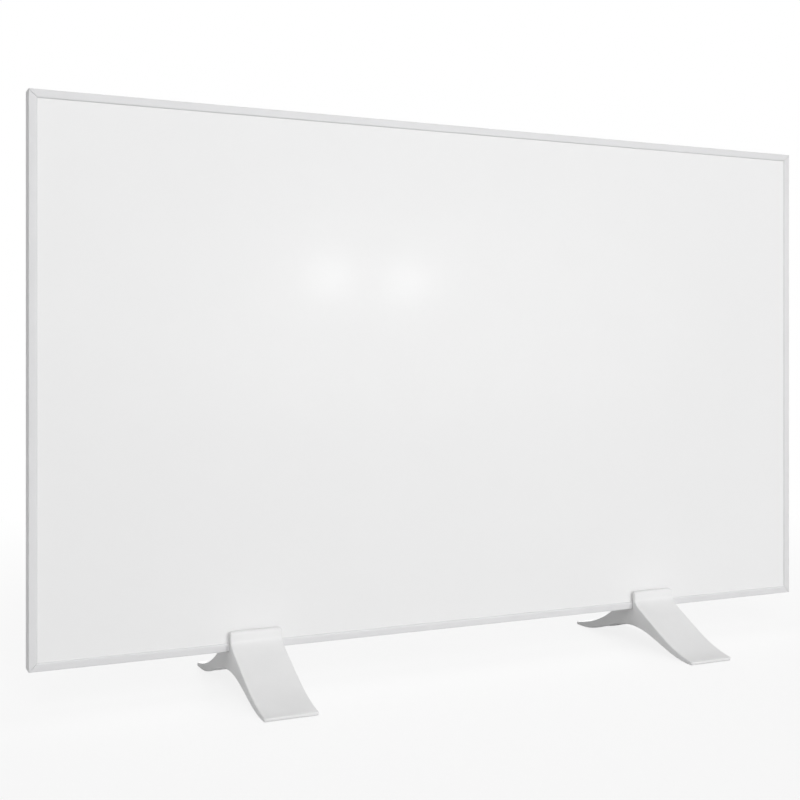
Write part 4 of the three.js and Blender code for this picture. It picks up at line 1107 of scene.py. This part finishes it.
CAMERA_SPOT = Vector((-0.6915, -1.3061, 0.3742))
CAMERA_TURN = 25
FOCAL_PIXELS = 1227
IMAGE_SIZE = 800
HORIZON = 353
SENSOR = 36

# Pixels at which the front plate mirrors a lamp
SPOT_PIXELS = [(330, 278), (410, 282)]
KEY_PIXEL = (440, 320)
FILL_PIXEL = (300, 320)
# (name, pixel, metres from the plate, size, watts)
MIRRORED_LAMPS = [
    ("spot_1", SPOT_PIXELS[0], 3.2, (0.16, 0.16), 3.8),
    ("spot_2", SPOT_PIXELS[1], 3.2, (0.16, 0.16), 3.8),
    ("key", KEY_PIXEL, 6.5, (3.2, 1.5), 60),
    ("fill", FILL_PIXEL, 6.5, (3.2, 1.5), 45),
]
# (name, place, point that it faces, size, watts)
STANDING_LAMPS = [
    ("top", (-1.2, -3.4, 2.9), (0, 0, 0.3), (2.4, 2.4), 58),
    ("rear", (1.6, 4.4, 1.5), (0, 0, 0.32), (2.2, 2.2), 125),
]


def seen_directly(nodes, links):
    """1 for rays from the camera, from glossy surfaces and through glass, and 0 for others."""
    path = nodes.new("ShaderNodeLightPath")
    total = path.outputs["Is Camera Ray"]
    for kind in ("Is Glossy Ray", "Is Transmission Ray"):
        larger = nodes.new("ShaderNodeMath")
        larger.operation = "MAXIMUM"
        links.new(total, larger.inputs[0])
        links.new(path.outputs[kind], larger.inputs[1])
        total = larger.outputs[0]
    return total


def add_floor():
    """A pale floor that keeps a soft shadow near the object and is white further away.

    It throws less light back at the object than it shows to the camera.
    """
    mesh = bmesh.new()
    bmesh.ops.create_circle(mesh, cap_ends=True, segments=64, radius=FLOOR_RADIUS)
    floor = to_object("floor", mesh)
    nodes, links, shader, material = new_material("floor")
    seen = seen_directly(nodes, links)
    links.new(spread(nodes, links, seen, *FLOOR_SHADES), shader.inputs["Base Color"])
    shader.inputs["Roughness"].default_value = 0.9
    shader.inputs["Specular IOR Level"].default_value = 0.1
    white = nodes.new("ShaderNodeEmission")
    coordinates = nodes.new("ShaderNodeTexCoord")
    distance = nodes.new("ShaderNodeVectorMath")
    distance.operation = "LENGTH"
    links.new(coordinates.outputs["Object"], distance.inputs[0])
    fade = spread(nodes, links, distance.outputs["Value"], FLOOR_LEAST_WHITE, 1.0, *FLOOR_FADE)
    share = nodes.new("ShaderNodeMath")
    share.operation = "MULTIPLY"
    mix = nodes.new("ShaderNodeMixShader")
    links.new(fade, share.inputs[0])
    links.new(seen, share.inputs[1])
    links.new(share.outputs[0], mix.inputs["Fac"])
    links.new(shader.outputs["BSDF"], mix.inputs[1])
    links.new(white.outputs["Emission"], mix.inputs[2])
    links.new(mix.outputs["Shader"], nodes["Material Output"].inputs["Surface"])
    floor.data.materials.append(material)


def add_world():
    """White to the camera and in reflections. As a light it is dimmer, and dimmest behind."""
    world = bpy.data.worlds.new("studio")
    bpy.context.scene.world = world
    world.use_nodes = True
    nodes, links = world.node_tree.nodes, world.node_tree.links
    background = nodes["Background"]
    background.inputs["Color"].default_value = (1, 1, 1, 1)
    direction = nodes.new("ShaderNodeTexCoord")
    axes = nodes.new("ShaderNodeSeparateXYZ")
    links.new(direction.outputs["Generated"], axes.inputs["Vector"])
    as_light = spread(nodes, links, axes.outputs["Y"], *WORLD_LEVELS, start=-1.0)
    level = spread(nodes, links, seen_directly(nodes, links), 0.0, 1.0)
    links.new(as_light, level.node.inputs["To Min"])
    links.new(level, background.inputs["Strength"])


def add_lamp(name, location, target, size, power):
    """A soft oval lamp, in metres and watts, that faces `target`."""
    data = bpy.data.lights.new(name, "AREA")
    data.shape = "ELLIPSE"
    data.size, data.size_y = size
    data.energy = power
    lamp = bpy.data.objects.new(name, data)
    lamp.location = location
    lamp.rotation_euler = (Vector(target) - Vector(location)).to_track_quat("-Z", "Y").to_euler()
    bpy.context.scene.collection.objects.link(lamp)


def mirrored_spot(pixel_x, pixel_y, reach):
    """The front plate's point at a pixel, and the place `reach` metres off that it mirrors."""
    turn = math.radians(CAMERA_TURN)
    forward = Vector((math.sin(turn), math.cos(turn), 0))
    right = Vector((math.cos(turn), -math.sin(turn), 0))
    ray = (forward + right * (pixel_x - IMAGE_SIZE / 2) / FOCAL_PIXELS
           + Vector((0, 0, 1)) * (HORIZON - pixel_y) / FOCAL_PIXELS)
    plate = (PANEL_FRONT + FRAME_WALL) * MM
    hit = CAMERA_SPOT + ray * (plate - CAMERA_SPOT.y) / ray.y
    return hit, hit + Vector((ray.x, -ray.y, ray.z)).normalized() * reach


def add_camera():
    data = bpy.data.cameras.new("camera")
    data.sensor_width = SENSOR
    data.lens = FOCAL_PIXELS * SENSOR / IMAGE_SIZE
    data.shift_y = (HORIZON - IMAGE_SIZE / 2) / IMAGE_SIZE
    camera = bpy.data.objects.new("camera", data)
    camera.location = CAMERA_SPOT
    camera.rotation_euler = (math.radians(90), 0, math.radians(-CAMERA_TURN))
    bpy.context.scene.collection.objects.link(camera)
    bpy.context.scene.camera = camera


add_floor()
add_world()
for lamp_name, pixel, lamp_reach, lamp_size, watts in MIRRORED_LAMPS:
    hit_point, lamp_spot = mirrored_spot(*pixel, lamp_reach)
    add_lamp(lamp_name, lamp_spot, hit_point, lamp_size, watts)
for lamp in STANDING_LAMPS:
    add_lamp(*lamp)
add_camera()
bpy.context.scene.view_settings.view_transform = "Standard"
